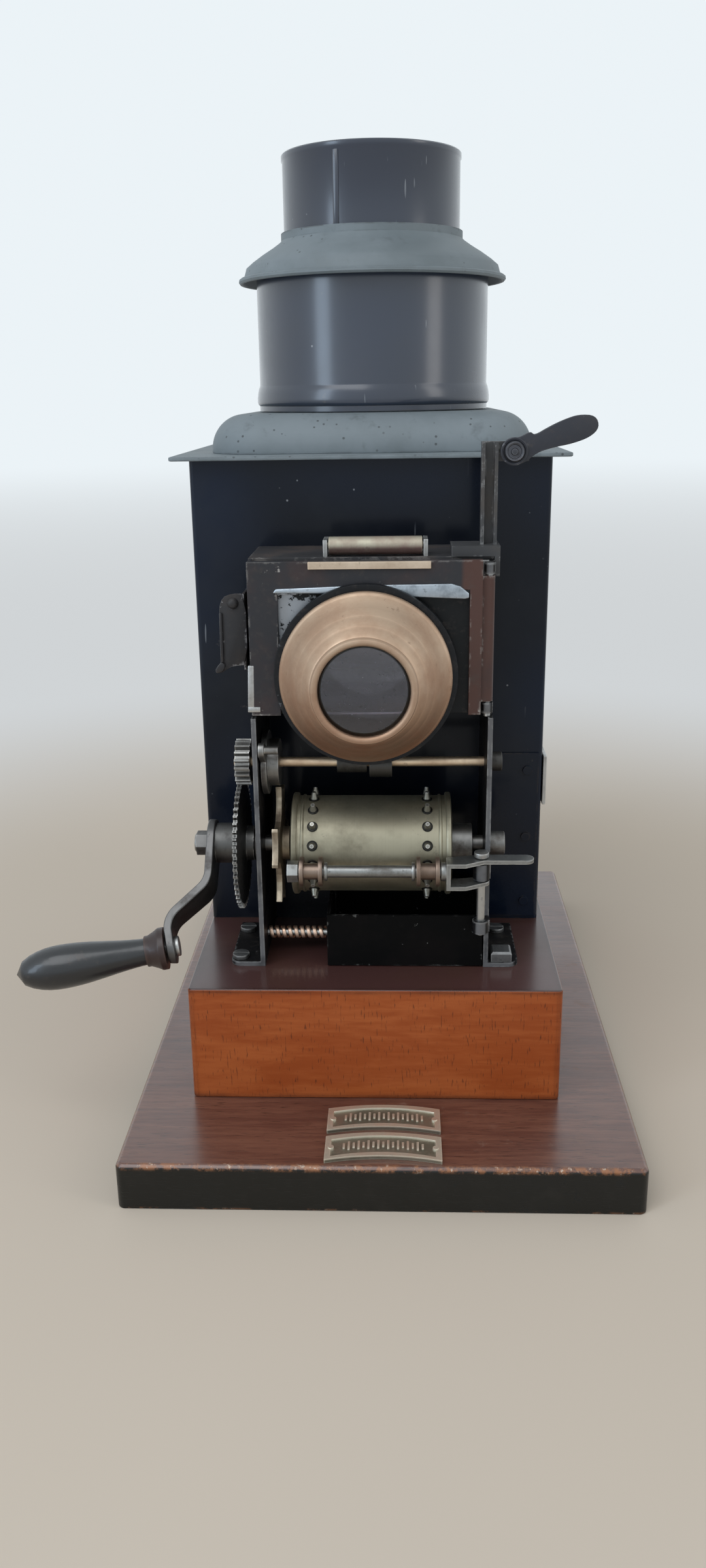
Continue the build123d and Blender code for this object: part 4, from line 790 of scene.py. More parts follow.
class Bench:
    """The modelling moves that the pieces share."""

    @staticmethod
    def clear() -> None:
        """Leaves nothing selected."""
        bpy.ops.object.select_all(action="DESELECT")

    @staticmethod
    def pick(piece: bpy.types.Object) -> None:
        """Selects one object alone and makes it active.

        Args:
            piece: The object.
        """
        Bench.clear()
        piece.select_set(True)
        bpy.context.view_layer.objects.active = piece

    @staticmethod
    def open(piece: bpy.types.Object) -> None:
        """Opens a piece for editing with everything selected.

        Args:
            piece: The object.
        """
        Bench.pick(piece)
        bpy.ops.object.mode_set(mode="EDIT")
        bpy.ops.mesh.select_mode(type="VERT")
        bpy.ops.mesh.select_all(action="SELECT")

    @staticmethod
    def close() -> None:
        """Leaves edit mode."""
        bpy.ops.object.mode_set(mode="OBJECT")

    @staticmethod
    def weld() -> None:
        """Merges the open piece's points that lie on each other, and selects everything."""
        bpy.ops.mesh.select_all(action="SELECT")
        bpy.ops.mesh.remove_doubles(threshold=0.002 * MM)
        bpy.ops.mesh.select_all(action="SELECT")

    @staticmethod
    def close_outwards() -> None:
        """Turns the open piece's faces outwards and leaves edit mode."""
        bpy.ops.mesh.select_all(action="SELECT")
        bpy.ops.mesh.normals_make_consistent(inside=False)
        Bench.close()

    @staticmethod
    def shift(piece: bpy.types.Object, way: Point) -> bpy.types.Object:
        """Moves a piece's mesh.

        Args:
            piece: The object.
            way: How far it moves, in millimetres.

        Returns:
            The same object.
        """
        Bench.open(piece)
        bpy.ops.transform.translate(value=Vector(way) * MM)
        Bench.close()
        return piece

    @staticmethod
    def narrow(share: float, middle: float) -> None:
        """Scales what is selected in the open piece along X, about an x in metres, and closes it."""
        bpy.ops.transform.resize(value=(share, 1.0, 1.0), center_override=(middle, 0.0, 0.0))
        Bench.close()

    @staticmethod
    def bake_place(piece: bpy.types.Object) -> None:
        """Moves a piece's place, turn and scale into its mesh."""
        Bench.pick(piece)
        bpy.ops.object.transform_apply(location=True, rotation=True, scale=True)

    @staticmethod
    def smooth(piece: bpy.types.Object, degrees: float) -> bpy.types.Object:
        """Gives smooth shading except over sharp angles.

        Args:
            piece: The object.
            degrees: The smallest angle that stays sharp.

        Returns:
            The same object.
        """
        Bench.pick(piece)
        bpy.ops.object.shade_smooth_by_angle(angle=math.radians(degrees))
        return piece

    @staticmethod
    def modify(piece: bpy.types.Object, kind: str, settings: dict[str, object]) -> None:
        """Adds one modifier and applies it.

        Args:
            piece: The object.
            kind: The modifier's type.
            settings: Its settings.
        """
        Bench.pick(piece)
        modifier = piece.modifiers.new(kind.title(), kind)
        for key, value in settings.items():
            setattr(modifier, key, value)
        bpy.ops.object.modifier_apply(modifier=modifier.name)

    @staticmethod
    def round_edges(piece: bpy.types.Object, width: float, segments: int = 2, angle: float = 30.0) -> None:
        """Rounds every edge that is sharper than an angle, and smooths the piece.

        Args:
            piece: The object.
            width: The width of the rounding, in millimetres.
            segments: How many faces cross it.
            angle: The smallest angle that is rounded, in degrees.
        """
        Bench.modify(piece, "BEVEL", {"width": width * MM, "segments": segments, "limit_method": "ANGLE",
                                      "angle_limit": math.radians(angle), "use_clamp_overlap": True})
        Bench.smooth(piece, 40.0)

    @staticmethod
    def copied(node: bpy.types.Object, name: str, dissolve: float = 0.6) -> bpy.types.Object:
        """A merged copy of a CAD node for editing.

        Args:
            node: The CAD node.
            name: The new piece's name.
            dissolve: Faces that meet flatter than this, in degrees, become one.

        Returns:
            The copy.
        """
        piece = bpy.data.objects.new(name, node.data.copy())
        piece.data.name = name
        bpy.context.scene.collection.objects.link(piece)
        Bench.pick(piece)
        bpy.ops.mesh.customdata_custom_splitnormals_clear()
        Bench.open(piece)
        Bench.weld()
        bpy.ops.mesh.dissolve_limited(angle_limit=math.radians(dissolve))
        bpy.ops.mesh.select_all(action="DESELECT")
        Bench.close()
        return piece

    @staticmethod
    def softened(node: bpy.types.Object, name: str, width: float, segments: int = 2,
                 angle: float = 30.0) -> bpy.types.Object:
        """A copy of a CAD node with rounded edges, shaded so that its large faces look flat.

        Args:
            node: The CAD node.
            name: The new piece's name.
            width: The width of the rounding, in millimetres.
            segments: How many faces cross it.
            angle: The smallest angle that is rounded, in degrees.

        Returns:
            The copy.
        """
        piece = Bench.copied(node, name)
        Bench.round_edges(piece, width, segments, angle)
        Bench.modify(piece, "WEIGHTED_NORMAL", {"mode": "FACE_AREA", "weight": 80, "keep_sharp": True})
        return piece

    @staticmethod
    def looped(name: str, spots: list[Vector]) -> bpy.types.Object:
        """Starts a piece as one closed line, and leaves it open with everything selected.

        Args:
            name: The new piece's name.
            spots: The line's corners, in metres.

        Returns:
            The piece.
        """
        Bench.clear()
        bpy.ops.mesh.primitive_plane_add(size=MM, location=(0, 0, 0))
        piece = bpy.context.active_object
        piece.name = piece.data.name = name
        Bench.open(piece)
        bpy.ops.mesh.merge(type="CENTER")
        bpy.ops.transform.translate(value=spots[0])
        for before, after in zip(spots, spots[1:] + spots[:1]):
            bpy.ops.mesh.extrude_vertices_move(TRANSFORM_OT_translate={"value": after - before})
        Bench.weld()
        return piece

    @staticmethod
    def turned(name: str, profile: list[Flat], axis: Along, centre: Point, steps: int = 160,
               smooth: float = 35.0) -> bpy.types.Object:
        """A piece turned as on a lathe.

        Args:
            name: The new piece's name.
            profile: (radius, place along the axis) points in millimetres, once round the section.
            axis: The axis that it spins about.
            centre: A point of that axis in metres.
            steps: How many faces go round.
            smooth: Edges sharper than this stay sharp, in degrees.

        Returns:
            The piece.
        """
        line = axis.line()
        side = Vector((0, 0, 1)) if axis is Along.X else Vector((1, 0, 0))
        middle = Vector(centre) - line * line.dot(Vector(centre))
        piece = Bench.looped(name, [middle + side * (r * MM) + line * (a * MM) for r, a in profile])
        bpy.ops.mesh.spin(steps=steps, angle=2 * math.pi, center=middle, axis=line)
        Bench.weld()
        Bench.close_outwards()
        return Bench.smooth(piece, smooth)

    @staticmethod
    def sheet(name: str, outline: list[Flat], axis: Along, at: float, thickness: float, bevel: float = 0.12,
              segments: int = 2) -> bpy.types.Object:
        """A flat piece cut from sheet.

        Args:
            name: The new piece's name.
            outline: Its corners in millimetres: (x, z) across Y, (y, z) across X, (x, y) across Z.
            axis: The axis that its thickness runs along.
            at: Where its first face lies on that axis, in millimetres.
            thickness: How far it runs from there, in millimetres.
            bevel: The rounding of its edges, in millimetres.
            segments: How many faces cross the rounding.

        Returns:
            The piece.
        """
        spots = []
        for corner in outline:
            spot = Vector()
            for number, part in zip(axis.value, (*corner, at)):
                spot[number] = part * MM
            spots.append(spot)
        piece = Bench.looped(name, spots)
        bpy.ops.mesh.edge_face_add()
        bpy.ops.mesh.extrude_region_move(TRANSFORM_OT_translate={"value": axis.line() * (thickness * MM)})
        Bench.close_outwards()
        Bench.round_edges(piece, bevel, segments)
        return piece

    @staticmethod
    def joined(name: str, pieces: list[bpy.types.Object]) -> bpy.types.Object:
        """Several pieces as one.

        Args:
            name: The joined piece's name.
            pieces: The pieces.

        Returns:
            The joined piece.
        """
        Bench.pick(pieces[0])
        for piece in pieces:
            piece.select_set(True)
        bpy.ops.object.join()
        pieces[0].name = pieces[0].data.name = name
        return pieces[0]

    @staticmethod
    def rounded(points: list[Flat], steps: int) -> list[Flat]:
        """An outline with its corners cut rounder.

        Args:
            points: The corners.
            steps: How many times every corner is cut.

        Returns:
            The rounder outline.
        """
        for _ in range(steps):
            points = [((1 - share) * ax + share * bx, (1 - share) * ay + share * by) for (ax, ay),
                      (bx, by) in zip(points, points[1:] + points[:1]) for share in (0.25, 0.75)]
        return points


class Shop:
    """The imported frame, the finishes and the moves that put a piece in its place."""

    def __init__(self) -> None:
        """Loads the frame."""
        self.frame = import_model()
        self.finishes: dict[str, bpy.types.Material] = {}

    def node(self, name: str) -> bpy.types.Object:
        """A CAD node by name."""
        return self.frame["nodes"][name]

    def finish(self, recipe: object) -> bpy.types.Material:
        """The material of a finish, made once.

        Args:
            recipe: The finish.

        Returns:
            Its material.
        """
        if recipe.name not in self.finishes:
            self.finishes[recipe.name] = recipe.make()
        return self.finishes[recipe.name]

    def dress(self, node: str, recipe: object) -> None:
        """Gives a shown CAD node its finish.

        Args:
            node: The node's name.
            recipe: The finish.
        """
        target = self.node(node)
        if not target.material_slots:
            target.data.materials.append(None)
        for slot in target.material_slots:
            slot.material = self.finish(recipe)
        LOG.info("dressed %s in %s", node, recipe.name)

    def mount(self, piece: bpy.types.Object, body: str, slot: str, recipe: object,
              *nodes: str) -> bpy.types.Object:
        """Finishes a new piece and fixes it to its body.

        Args:
            piece: The object.
            body: The body that carries it.
            slot: The record's material slot; not used.
            recipe: The finish.
            nodes: CAD nodes that it stands for.

        Returns:
            The piece.
        """
        piece.data.materials.clear()
        piece.data.materials.append(self.finish(recipe))
        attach(piece, body)
        if nodes:
            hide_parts(*nodes)
        LOG.info("made %s on %s", piece.name, body)
        return piece

    def soften(self, body: str, slot: str, recipe: object, segments: int = 2, angle: float = 30.0,
               **widths: float) -> None:
        """Replaces CAD nodes by copies with rounded edges.

        Args:
            body: The body that carries them.
            slot: The record's material slot.
            recipe: The finish.
            segments: How many faces cross a rounding.
            angle: The smallest angle that is rounded, in degrees.
            widths: The width of each node's rounding, in millimetres, by the node's name.
        """
        for node, width in widths.items():
            piece = Bench.softened(self.node(node), "soft_" + node, width, segments, angle)
            self.mount(piece, body, slot, recipe, node)


@dataclass
class Assembly:
    """A part of the lantern, with the shop that makes it."""

    shop: Shop


@dataclass
class Base(Assembly):
    """The board and the block that the lantern stands on, with its two plates."""

    top: float = 11.8
    half_width: float = 61.2
    half_length: float = 90.0
    badge_middle: float = 0.7
    badge_fronts: Flat = (-88.4, -76.8)
    badge_half: float = 13.6
    badge_rise: float = 1.8
    badge_centre: float = 4.6
    bars: int = 17
    bar_pitch: float = 1.15
    bar_half_width: float = 0.28
    bar_half_lengths: Flat = (1.05, 1.65)
    bar_floor: float = 0.5
    bar_height: float = 0.5
    bar_rounding: float = 0.14
    dull_from: float = 0.95
    dull_to: float = 0.64

    def reeding(self) -> bpy.types.Object:
        """Makes the rows of small upright bars that fill the two badges.

        Returns:
            The bars as one piece.
        """
        made, floor = [], self.top + self.bar_floor
        for front in self.badge_fronts:
            for index in range(self.bars):
                x = (index - (self.bars - 1) / 2) * self.bar_pitch
                y = front + self.badge_centre + self.badge_rise * (1 - (x / self.badge_half) ** 2)
                half = self.bar_half_lengths[index % 2]
                left, right = (self.badge_middle + x + side * self.bar_half_width for side in (-1, 1))
                outline = [(left, y - half), (right, y - half), (right, y + half), (left, y + half)]
                made.append(Bench.sheet("badge_bar", outline, Along.Z, floor, self.bar_height,
                                        self.bar_rounding))
        return Bench.joined("badge_reeding", made)

    def build(self) -> None:
        """Makes and dresses the base."""
        board = BoardWood("base_mahogany", self.top * MM, self.half_width * MM, self.half_length * MM)
        self.shop.soften("stand", "base_wood", board, 3, base_board=0.35)
        self.shop.soften("stand", "plinth_wood", BlockWood("plinth_redwood"), 3, plinth_block=0.5)
        dull = ((self.top + self.dull_to) * MM, (self.top + self.dull_from) * MM)
        brass = TurnedBrass("plate_brass", Along.Z, (0, 0, 0), (0.69, 0.63, 0.52), (0.19, 0.175, 0.13),
                            shine=0.52, lines=0.3, spread=0.4, low=dull)
        self.shop.soften("stand", "badge_brass", brass, base_badges=0.12)
        self.shop.mount(self.reeding(), "stand", "badge_brass", brass)


@dataclass
class LampHouse(Assembly):
    """The sheet-metal house with its roof and door."""

    def build(self) -> None:
        """Makes and dresses the house."""
        make, japan, roof = self.shop.soften, JapanBlack("house_japan"), DustyPaint("roof_grey")
        make("stand", "japanned_steel", japan, lamp_house=0.25, front_patch=0.18)
        make("side_door", "japanned_steel", japan, side_door=0.2)
        make("stand", "roof_paint", roof, roof_plate=0.3)
        make("stand", "roof_paint", roof, angle=40.0, roof_dome=0.2)
        make("side_door", "plated_steel", BareSteel("plated_steel"), door_tab=0.2)


@dataclass
class Chimney(Assembly):
    """The lift-off chimney: a drum with a bead, a cowl with a rolled rim and a short pipe."""

    centre: Point = (-2.5 * MM, 26.0 * MM, 0.0)
    base: float = 175.5
    radius: float = 31.0
    wall: float = 0.8
    drum_top: float = 212.0
    rim: float = 207.6
    rim_radius: float = 35.7
    roll: float = 0.75
    neck_radius: float = 24.1
    pipe_radius: float = 23.3
    pipe_top: float = 238.8
    seam_turn: float = -21.0
    seam_width: float = 1.5
    seam_from: float = 11.6
    seam_below_top: float = 2.0

    def drum(self) -> list[Flat]:
        """Draws the drum, with a broad bead above its foot.

        Returns:
            Its section: (radius, height) points.
        """
        inner, base, r = self.radius - self.wall, self.base, self.radius
        return [(inner, base), (r + 0.2, base), (r + 0.2, base + 1.3), (r + 0.6, base + 1.6),
                (r + 0.8, base + 2.2), (r + 0.78, base + 3.3), (r + 0.62, base + 4.6), (r + 0.36, base + 5.7),
                (r + 0.1, base + 6.3), (r, base + 6.7), (r, self.drum_top), (inner, self.drum_top)]

    def cowl(self) -> list[Flat]:
        """Draws the cowl, from its rolled rim to its neck.

        Returns:
            Its section: (radius, height) points.
        """
        rim, r, roll, neck = self.rim, self.rim_radius, self.roll, self.neck_radius
        points = [(r - 1.4, rim + 0.2)]
        for degrees in range(-150, 121, 45):
            turn = math.radians(degrees)
            points.append((r - roll + roll * math.cos(turn), rim + roll + roll * math.sin(turn)))
        return points + [(r - 1.6, rim + 2.2), (33.6, rim + 3.9), (31.9, rim + 5.3), (29.4, rim + 7.0),
                         (26.6, rim + 8.7), (24.7, rim + 10.0), (neck, rim + 10.6), (neck, rim + 12.4),
                         (neck - self.wall, rim + 12.4), (neck - self.wall, rim + 10.2), (26.2, rim + 8.0),
                         (31.0, rim + 4.6), (33.0, rim + 3.0)]

    def pipe(self) -> list[Flat]:
        """Draws the pipe, with a folded top edge.

        Returns:
            Its section: (radius, height) points.
        """
        r, inner, foot, top = self.pipe_radius, self.pipe_radius - self.wall, self.rim + 8.6, self.pipe_top
        return [(inner, foot), (r, foot), (r, top - 1.8), (r + 0.25, top - 1.4), (r + 0.25, top - 0.3),
                (r, top), (inner - 0.2, top), (inner - 0.3, top - 1.4), (inner, top - 1.8)]

    def seam(self) -> bpy.types.Object:
        """Makes the folded seam that runs up the front of the pipe.

        Returns:
            The seam.
        """
        turn, half = math.radians(self.seam_turn), self.seam_width / 2
        along, out = Vector((math.cos(turn), math.sin(turn))), Vector((math.sin(turn), -math.cos(turn)))
        middle = Vector(self.centre[:2]) / MM + self.pipe_radius * out
        section = ((-half, -0.5), (half, -0.5), (half, 0.2), (0.3 * half, 0.35), (-0.6 * half, 0.35),
                   (-half, 0.15))
        outline = [tuple(middle + along * side + out * height) for side, height in section]
        foot = self.rim + self.seam_from
        return Bench.sheet("pipe_seam", outline, Along.Z, foot, self.pipe_top - self.seam_below_top - foot,
                           0.08)

    def build(self) -> None:
        """Makes and dresses the chimney."""
        # A lighter, bluer copy of the house's japan: the extra brightness is painted sheen.
        japan = JapanBlack("chimney_japan_painted_sheen", (0.010, 0.017, 0.036), (0.016, 0.026, 0.050), gloss=0.28,
                           level=0.45, coat=0.95, coat_gloss=0.19)
        roof = DustyPaint("roof_grey")
        for name, section, slot, recipe, node in (
                ("beaded_drum", self.drum(), "japanned_steel", japan, "chimney_drum"),
                ("rolled_cowl", self.cowl(), "roof_paint", roof, "chimney_cowl"),
                ("folded_pipe", self.pipe(), "japanned_steel", japan, "chimney_pipe")):
            self.shop.mount(Bench.turned(name, section, Along.Z, self.centre), "chimney", slot, recipe, node)
        self.shop.mount(self.seam(), "chimney", "japanned_steel", japan)


@dataclass
class Plates(Assembly):
    """The side plates, the film track and the fittings between them."""

    def build(self) -> None:
        """Makes and dresses the plates and their fittings."""
        make, steel = self.shop.soften, BareSteel("plated_steel")
        # plate_black lays a painted highlight on the plates' front edges.
        black = WornPaint("plate_black", (0.006, 0.006, 0.007), (0.014, 0.012, 0.011), (0.30, 0.30, 0.30),
                          wear=1.3, gloss=0.36, level=0.1, front_highlight=0.8)
        frame = WornPaint("top_japan", (0.045, 0.044, 0.046), (0.075, 0.060, 0.054), (0.36, 0.34, 0.32),
                          wear=1.1)
        foot = BareSteel("foot_steel", (0.20, 0.20, 0.20), (0.06, 0.055, 0.05), 0.42, 0.6, (0.60, 0.60, 0.58))
        make("stand", "black_paint", black, side_plate_left=0.14, side_plate_right=0.14)
        make("stand", "plated_steel", foot, foot_screws=0.12)
        make("stand", "worn_frame_paint", frame, gate_top_plate=0.15)
        make("stand", "plated_steel", steel, aperture_plate=0.12, guide_bracket=0.15, hinge_pins=0.12)


@dataclass
class ReelArm(Assembly):
    """The bracket at the upper right and the arm that holds the film loop."""

    pivot: Flat = (30.8, 166.9)
    front: float = -40.0

    def paddle(self) -> bpy.types.Object:
        """Makes the reel arm: a ring-faced boss that widens into a rounded paddle.

        Returns:
            The arm.
        """
        x, z = self.pivot
        corners = ((-3.4, -0.6), (-2.2, 2.6), (1.2, 3.0), (3.6, 4.4), (4.4, 3.4), (7.7, 5.3), (11.0, 6.8),
                   (14.3, 7.85), (18.0, 7.6), (19.0, 5.0), (17.0, 2.9), (13.0, 1.5), (8.5, 0.7), (5.0, -0.4),
                   (2.4, -2.6), (-0.8, -3.2))
        outline = Bench.rounded([(x + right, z + up) for right, up in corners], 2)
        blade = Bench.sheet("paddle_blade", outline, Along.Y, self.front, 1.2, 0.3, 3)
        section = [(3.1, 0.0), (3.1, -0.3), (2.9, -0.45), (2.5, -0.35), (2.4, 0.0)]
        ring = Bench.turned("paddle_ring", section, Along.Y, (x * MM, 0, z * MM), 48)
        return Bench.joined("reel_paddle", [blade, Bench.shift(ring, (0, self.front, 0))])

    def disc(self) -> bpy.types.Object:
        """Makes the arm's pivot: a disc with a turned ring and a small centre.

        Returns:
            The pivot.
        """
        x, z = self.pivot
        section = ((0.0, 0.1), (0.7, 0.1), (0.9, 0.45), (1.45, 0.45), (1.6, 0.15), (2.0, 0.0), (2.2, 0.2),
                   (2.3, 0.6), (2.3, 1.5), (1.2, 1.5), (1.2, 4.6), (0.0, 4.6))
        front = self.front - 1.5
        return Bench.turned("ringed_pivot", [(radius, front + deep) for radius, deep in section], Along.Y,
                            (x * MM, 0, z * MM), 64)

    def build(self) -> None:
        """Makes and dresses the bracket, the pivot and the arm."""
        grey = WornPaint("bracket_grey", (0.062, 0.062, 0.064), (0.080, 0.072, 0.066), (0.30, 0.30, 0.30),
                         wear=0.8)
        disc = BareSteel("pivot_slate", (0.085, 0.088, 0.10), (0.04, 0.038, 0.04), 0.45, 0.6,
                         (0.22, 0.22, 0.24))
        slate = WornPaint("paddle_slate", (0.030, 0.032, 0.041), (0.040, 0.040, 0.046), (0.26, 0.26, 0.28),
                          wear=0.5, gloss=0.42, level=0.3)
        self.shop.soften("stand", "plated_steel", grey, reel_bracket=0.18)
        self.shop.mount(self.disc(), "stand", "plated_steel", disc, "reel_pivot_screw")
        self.shop.mount(self.paddle(), "reel_arm", "dark_steel", slate, "reel_arm")


@dataclass
class GateTop(Assembly):
    """The roller over the gate, and the gate's latch: a hinged leaf with a grip, a rivet and a toe."""

    roller: Point = (0.0, -39.3 * MM, 146.1 * MM)
    pin: Flat = (-31.9, -28.0)
    front: float = -43.7
    low: float = 117.6
    high: float = 135.6
    rivet: Flat = (-34.2, 133.6)

    def latch(self) -> bpy.types.Object:
        """Makes the latch from four sheets, a turned barrel and a domed rivet.

        Returns:
            The latch as one piece.
        """
        (x, y), low, high, front = self.pin, self.low, self.high, self.front
        grip = Bench.rounded([(-31.2, high + 0.3), (-34.6, high + 0.2), (-36.7, high - 0.7),
                              (-37.6, high - 3.4), (-37.2, high - 6.0), (-37.4, 124.0), (-37.5, 119.9),
                              (-38.5, 118.2), (-38.9, 117.3), (-37.6, 117.0), (-36.2, 117.9), (-34.8, 118.6),
                              (-31.2, 118.9)], 1)
        bent = [(-39.0, 117.0), (-37.3, 117.2), (-36.4, 119.0), (-37.4, 119.8), (-38.9, 118.2)]
        plate = [(front, low), (y, low), (y, high), (front, high)]
        strip = [(-37.6, 119.6), (-36.95, 119.6), (-36.85, 131.4), (-37.5, 131.4)]
        leaf = Bench.sheet("latch_leaf", plate, Along.X, x - 0.3, 0.6, 0.1)
        face = Bench.sheet("latch_face", grip, Along.Y, front - 0.6, 0.6, 0.14)
        edge = Bench.sheet("latch_edge", strip, Along.Y, front - 1.2, 1.2, 0.2)
        toe = Bench.sheet("latch_toe", Bench.rounded(bent, 1), Along.Y, front - 1.3, 1.3, 0.3, 3)
        tube = [(0.66, low), (1.0, low), (1.0, high), (0.66, high)]
        barrel = Bench.turned("latch_barrel", tube, Along.Z, (x * MM, y * MM, 0), 32)
        cap = [(0.0, -0.1), (0.0, -1.05), (0.7, -0.95), (1.15, -0.6), (1.35, -0.1)]
        dome = Bench.turned("latch_rivet", cap, Along.Y, (self.rivet[0] * MM, 0, self.rivet[1] * MM), 32)
        Bench.shift(dome, (0, front - 0.6, 0))
        return Bench.joined("shaped_latch", [face, leaf, edge, toe, barrel, dome])

    def build(self) -> None:
        """Makes and dresses the roller and the latch."""
        height = self.roller[2]
        # The roller brass darkens below the roller's axle: painted shade on its underside.
        brass = TurnedBrass("roller_brass", Along.X, self.roller, (0.46, 0.43, 0.34), (0.27, 0.17, 0.15),
                            shine=0.5, low=(height - 0.9 * MM, height + 0.3 * MM))
        self.shop.soften("guide", "drum_brass", brass, guide_roller=0.15)
        black = WornPaint("latch_black", (0.030, 0.029, 0.031), (0.045, 0.036, 0.032), (0.40, 0.39, 0.40),
                          wear=0.8)
        self.shop.mount(self.latch(), "latch", "dark_steel", black, "gate_latch")


@dataclass
class FilmChannel(Assembly):
    """The crank's stud, the spring's rod, and the box under the drum with its coil spring."""

    spring_seat: float = -29.2
    spring_keep: float = 0.675
    turns: int = 9
    steps: int = 28
    wire: float = 0.95 * MM

    def spring(self) -> bpy.types.Object:
        """Makes the coil spring, between the two faces that it presses on.

        Returns:
            The spring.
        """
        low, high = (Vector(corner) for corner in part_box("channel_spring"))
        middle, wire = (low + high) / 2, self.wire
        start = (low.x + wire / 2, middle.y, middle.z)
        Bench.clear()
        bpy.ops.mesh.primitive_circle_add(vertices=12, radius=wire / 2, location=start)
        coil = bpy.context.active_object
        coil.name = coil.data.name = "copper_spring"
        Bench.open(coil)
        bpy.ops.transform.translate(value=(0, 0, (high.z - low.z - wire) / 2))
        Bench.close()
        Bench.modify(coil, "SCREW", {
            "axis": "X", "angle": 2 * math.pi, "iterations": self.turns, "steps": self.steps,
            "render_steps": self.steps, "screw_offset": (high.x - low.x - wire) / self.turns,
            "use_merge_vertices": True, "merge_threshold": 0.001 * MM})
        Bench.open(coil)
        bpy.ops.mesh.fill_holes(sides=0)
        Bench.close_outwards()
        Bench.bake_place(coil)
        return Bench.smooth(coil, 50.0)

    def build(self) -> None:
        """Makes and dresses the stud, the rod, the channel and its spring."""
        make = self.shop.soften
        dark = BareSteel("dark_steel", (0.16, 0.155, 0.15), (0.05, 0.04, 0.035), 0.42, 0.7,
                         (0.50, 0.49, 0.46))
        make("stand", "dark_steel", dark, crank_stud=0.2)
        make("stand", "plated_steel", BareSteel("plated_steel"), spring_rod=0.12)
        # Darker than the other black paint: painted shade under the drum.
        deep = WornPaint("channel_black_painted_shade", (0.0035, 0.0035, 0.0036), (0.006, 0.005, 0.005), (0.26, 0.26, 0.25),
                         wear=0.7, gloss=0.5, level=0.05, coat=0.02, dust=0.02)
        copper = BareSteel("spring_copper", (0.60, 0.36, 0.25), (0.16, 0.09, 0.06), 0.36, 0.3,
                           (0.85, 0.62, 0.48))
        make("channel", "black_paint", deep, film_channel=0.14)
        coil = self.shop.mount(self.spring(), "stand", "spring_copper", copper, "channel_spring")
        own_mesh(coil)


@dataclass
class Gate(Assembly):
    """The swinging gate with the lens board and the pressure pad."""

    front: float = -48.8
    flaked: Flat = (-22.0, 130.0)
    brown_from: float = 18.5 * MM

    def lip(self) -> bpy.types.Object:
        """Makes the bent-over upper edge of the lens board.

        Returns:
            The edge.
        """
        outline = [(-24.3, 136.7), (-23.6, 137.6), (-9.4, 138.1), (3.1, 138.4), (16.6, 138.5), (18.6, 137.9),
                   (20.6, 136.3), (20.6, 135.2), (19.6, 135.0), (3.1, 135.7), (-8.9, 136.4), (-23.8, 136.6)]
        return Bench.sheet("board_lip", outline, Along.Y, self.front - 0.55, 0.7, 0.28, 3)

    def catch(self) -> bpy.types.Object:
        """Makes the small angle at the lower left of the gate.

        Returns:
            The angle.
        """
        upright = [(-31.1, 108.7), (-29.6, 108.7), (-29.3, 119.7), (-30.7, 119.7)]
        foot = [(-31.1, 108.5), (-28.1, 108.5), (-28.1, 109.8), (-31.0, 109.8)]
        return Bench.joined("gate_catch", [
            Bench.sheet("catch_upright", upright, Along.Y, self.front - 0.1, 1.1, 0.2),
            Bench.sheet("catch_foot", foot, Along.Y, self.front - 0.3, 1.3, 0.2)])

    def build(self) -> None:
        """Makes and dresses the gate."""
        make, steel = self.shop.soften, BareSteel("plated_steel")
        frame = WornPaint("frame_japan", (0.030, 0.030, 0.034), (0.082, 0.042, 0.034), (0.36, 0.34, 0.32),
                          brown_from=self.brown_from)
        spot = (self.flaked[0] * MM, self.front * MM, self.flaked[1] * MM)
        board = WornPaint("board_black", (0.008, 0.009, 0.010), (0.016, 0.015, 0.015), (0.42, 0.44, 0.47),
                          wear=0.5, gloss=0.3, level=0.15, spot=spot)
        # The lip is part of the black lens board; its pale blue-grey is a painted reflection of the sky.
        sky = BareSteel("lip_painted_sky_reflection", (0.42, 0.47, 0.52), (0.14, 0.16, 0.18), 0.38, 0.7, (0.74, 0.78, 0.82))
        brass = TurnedBrass("strip_brass", Along.Z, (0, 0, 0), (0.66, 0.54, 0.42), (0.34, 0.25, 0.18),
                            shine=0.46)
        self.shop.mount(self.lip(), "gate", "black_paint", sky)
        self.shop.mount(self.catch(), "gate", "plated_steel", steel)
        make("gate", "worn_frame_paint", frame, gate_door=0.18)
        make("gate", "black_paint", board, lens_board=0.18)
        make("gate", "drum_brass", brass, film_lip=0.15)
        make("gate", "plated_steel", steel, pressure_pad=0.12)


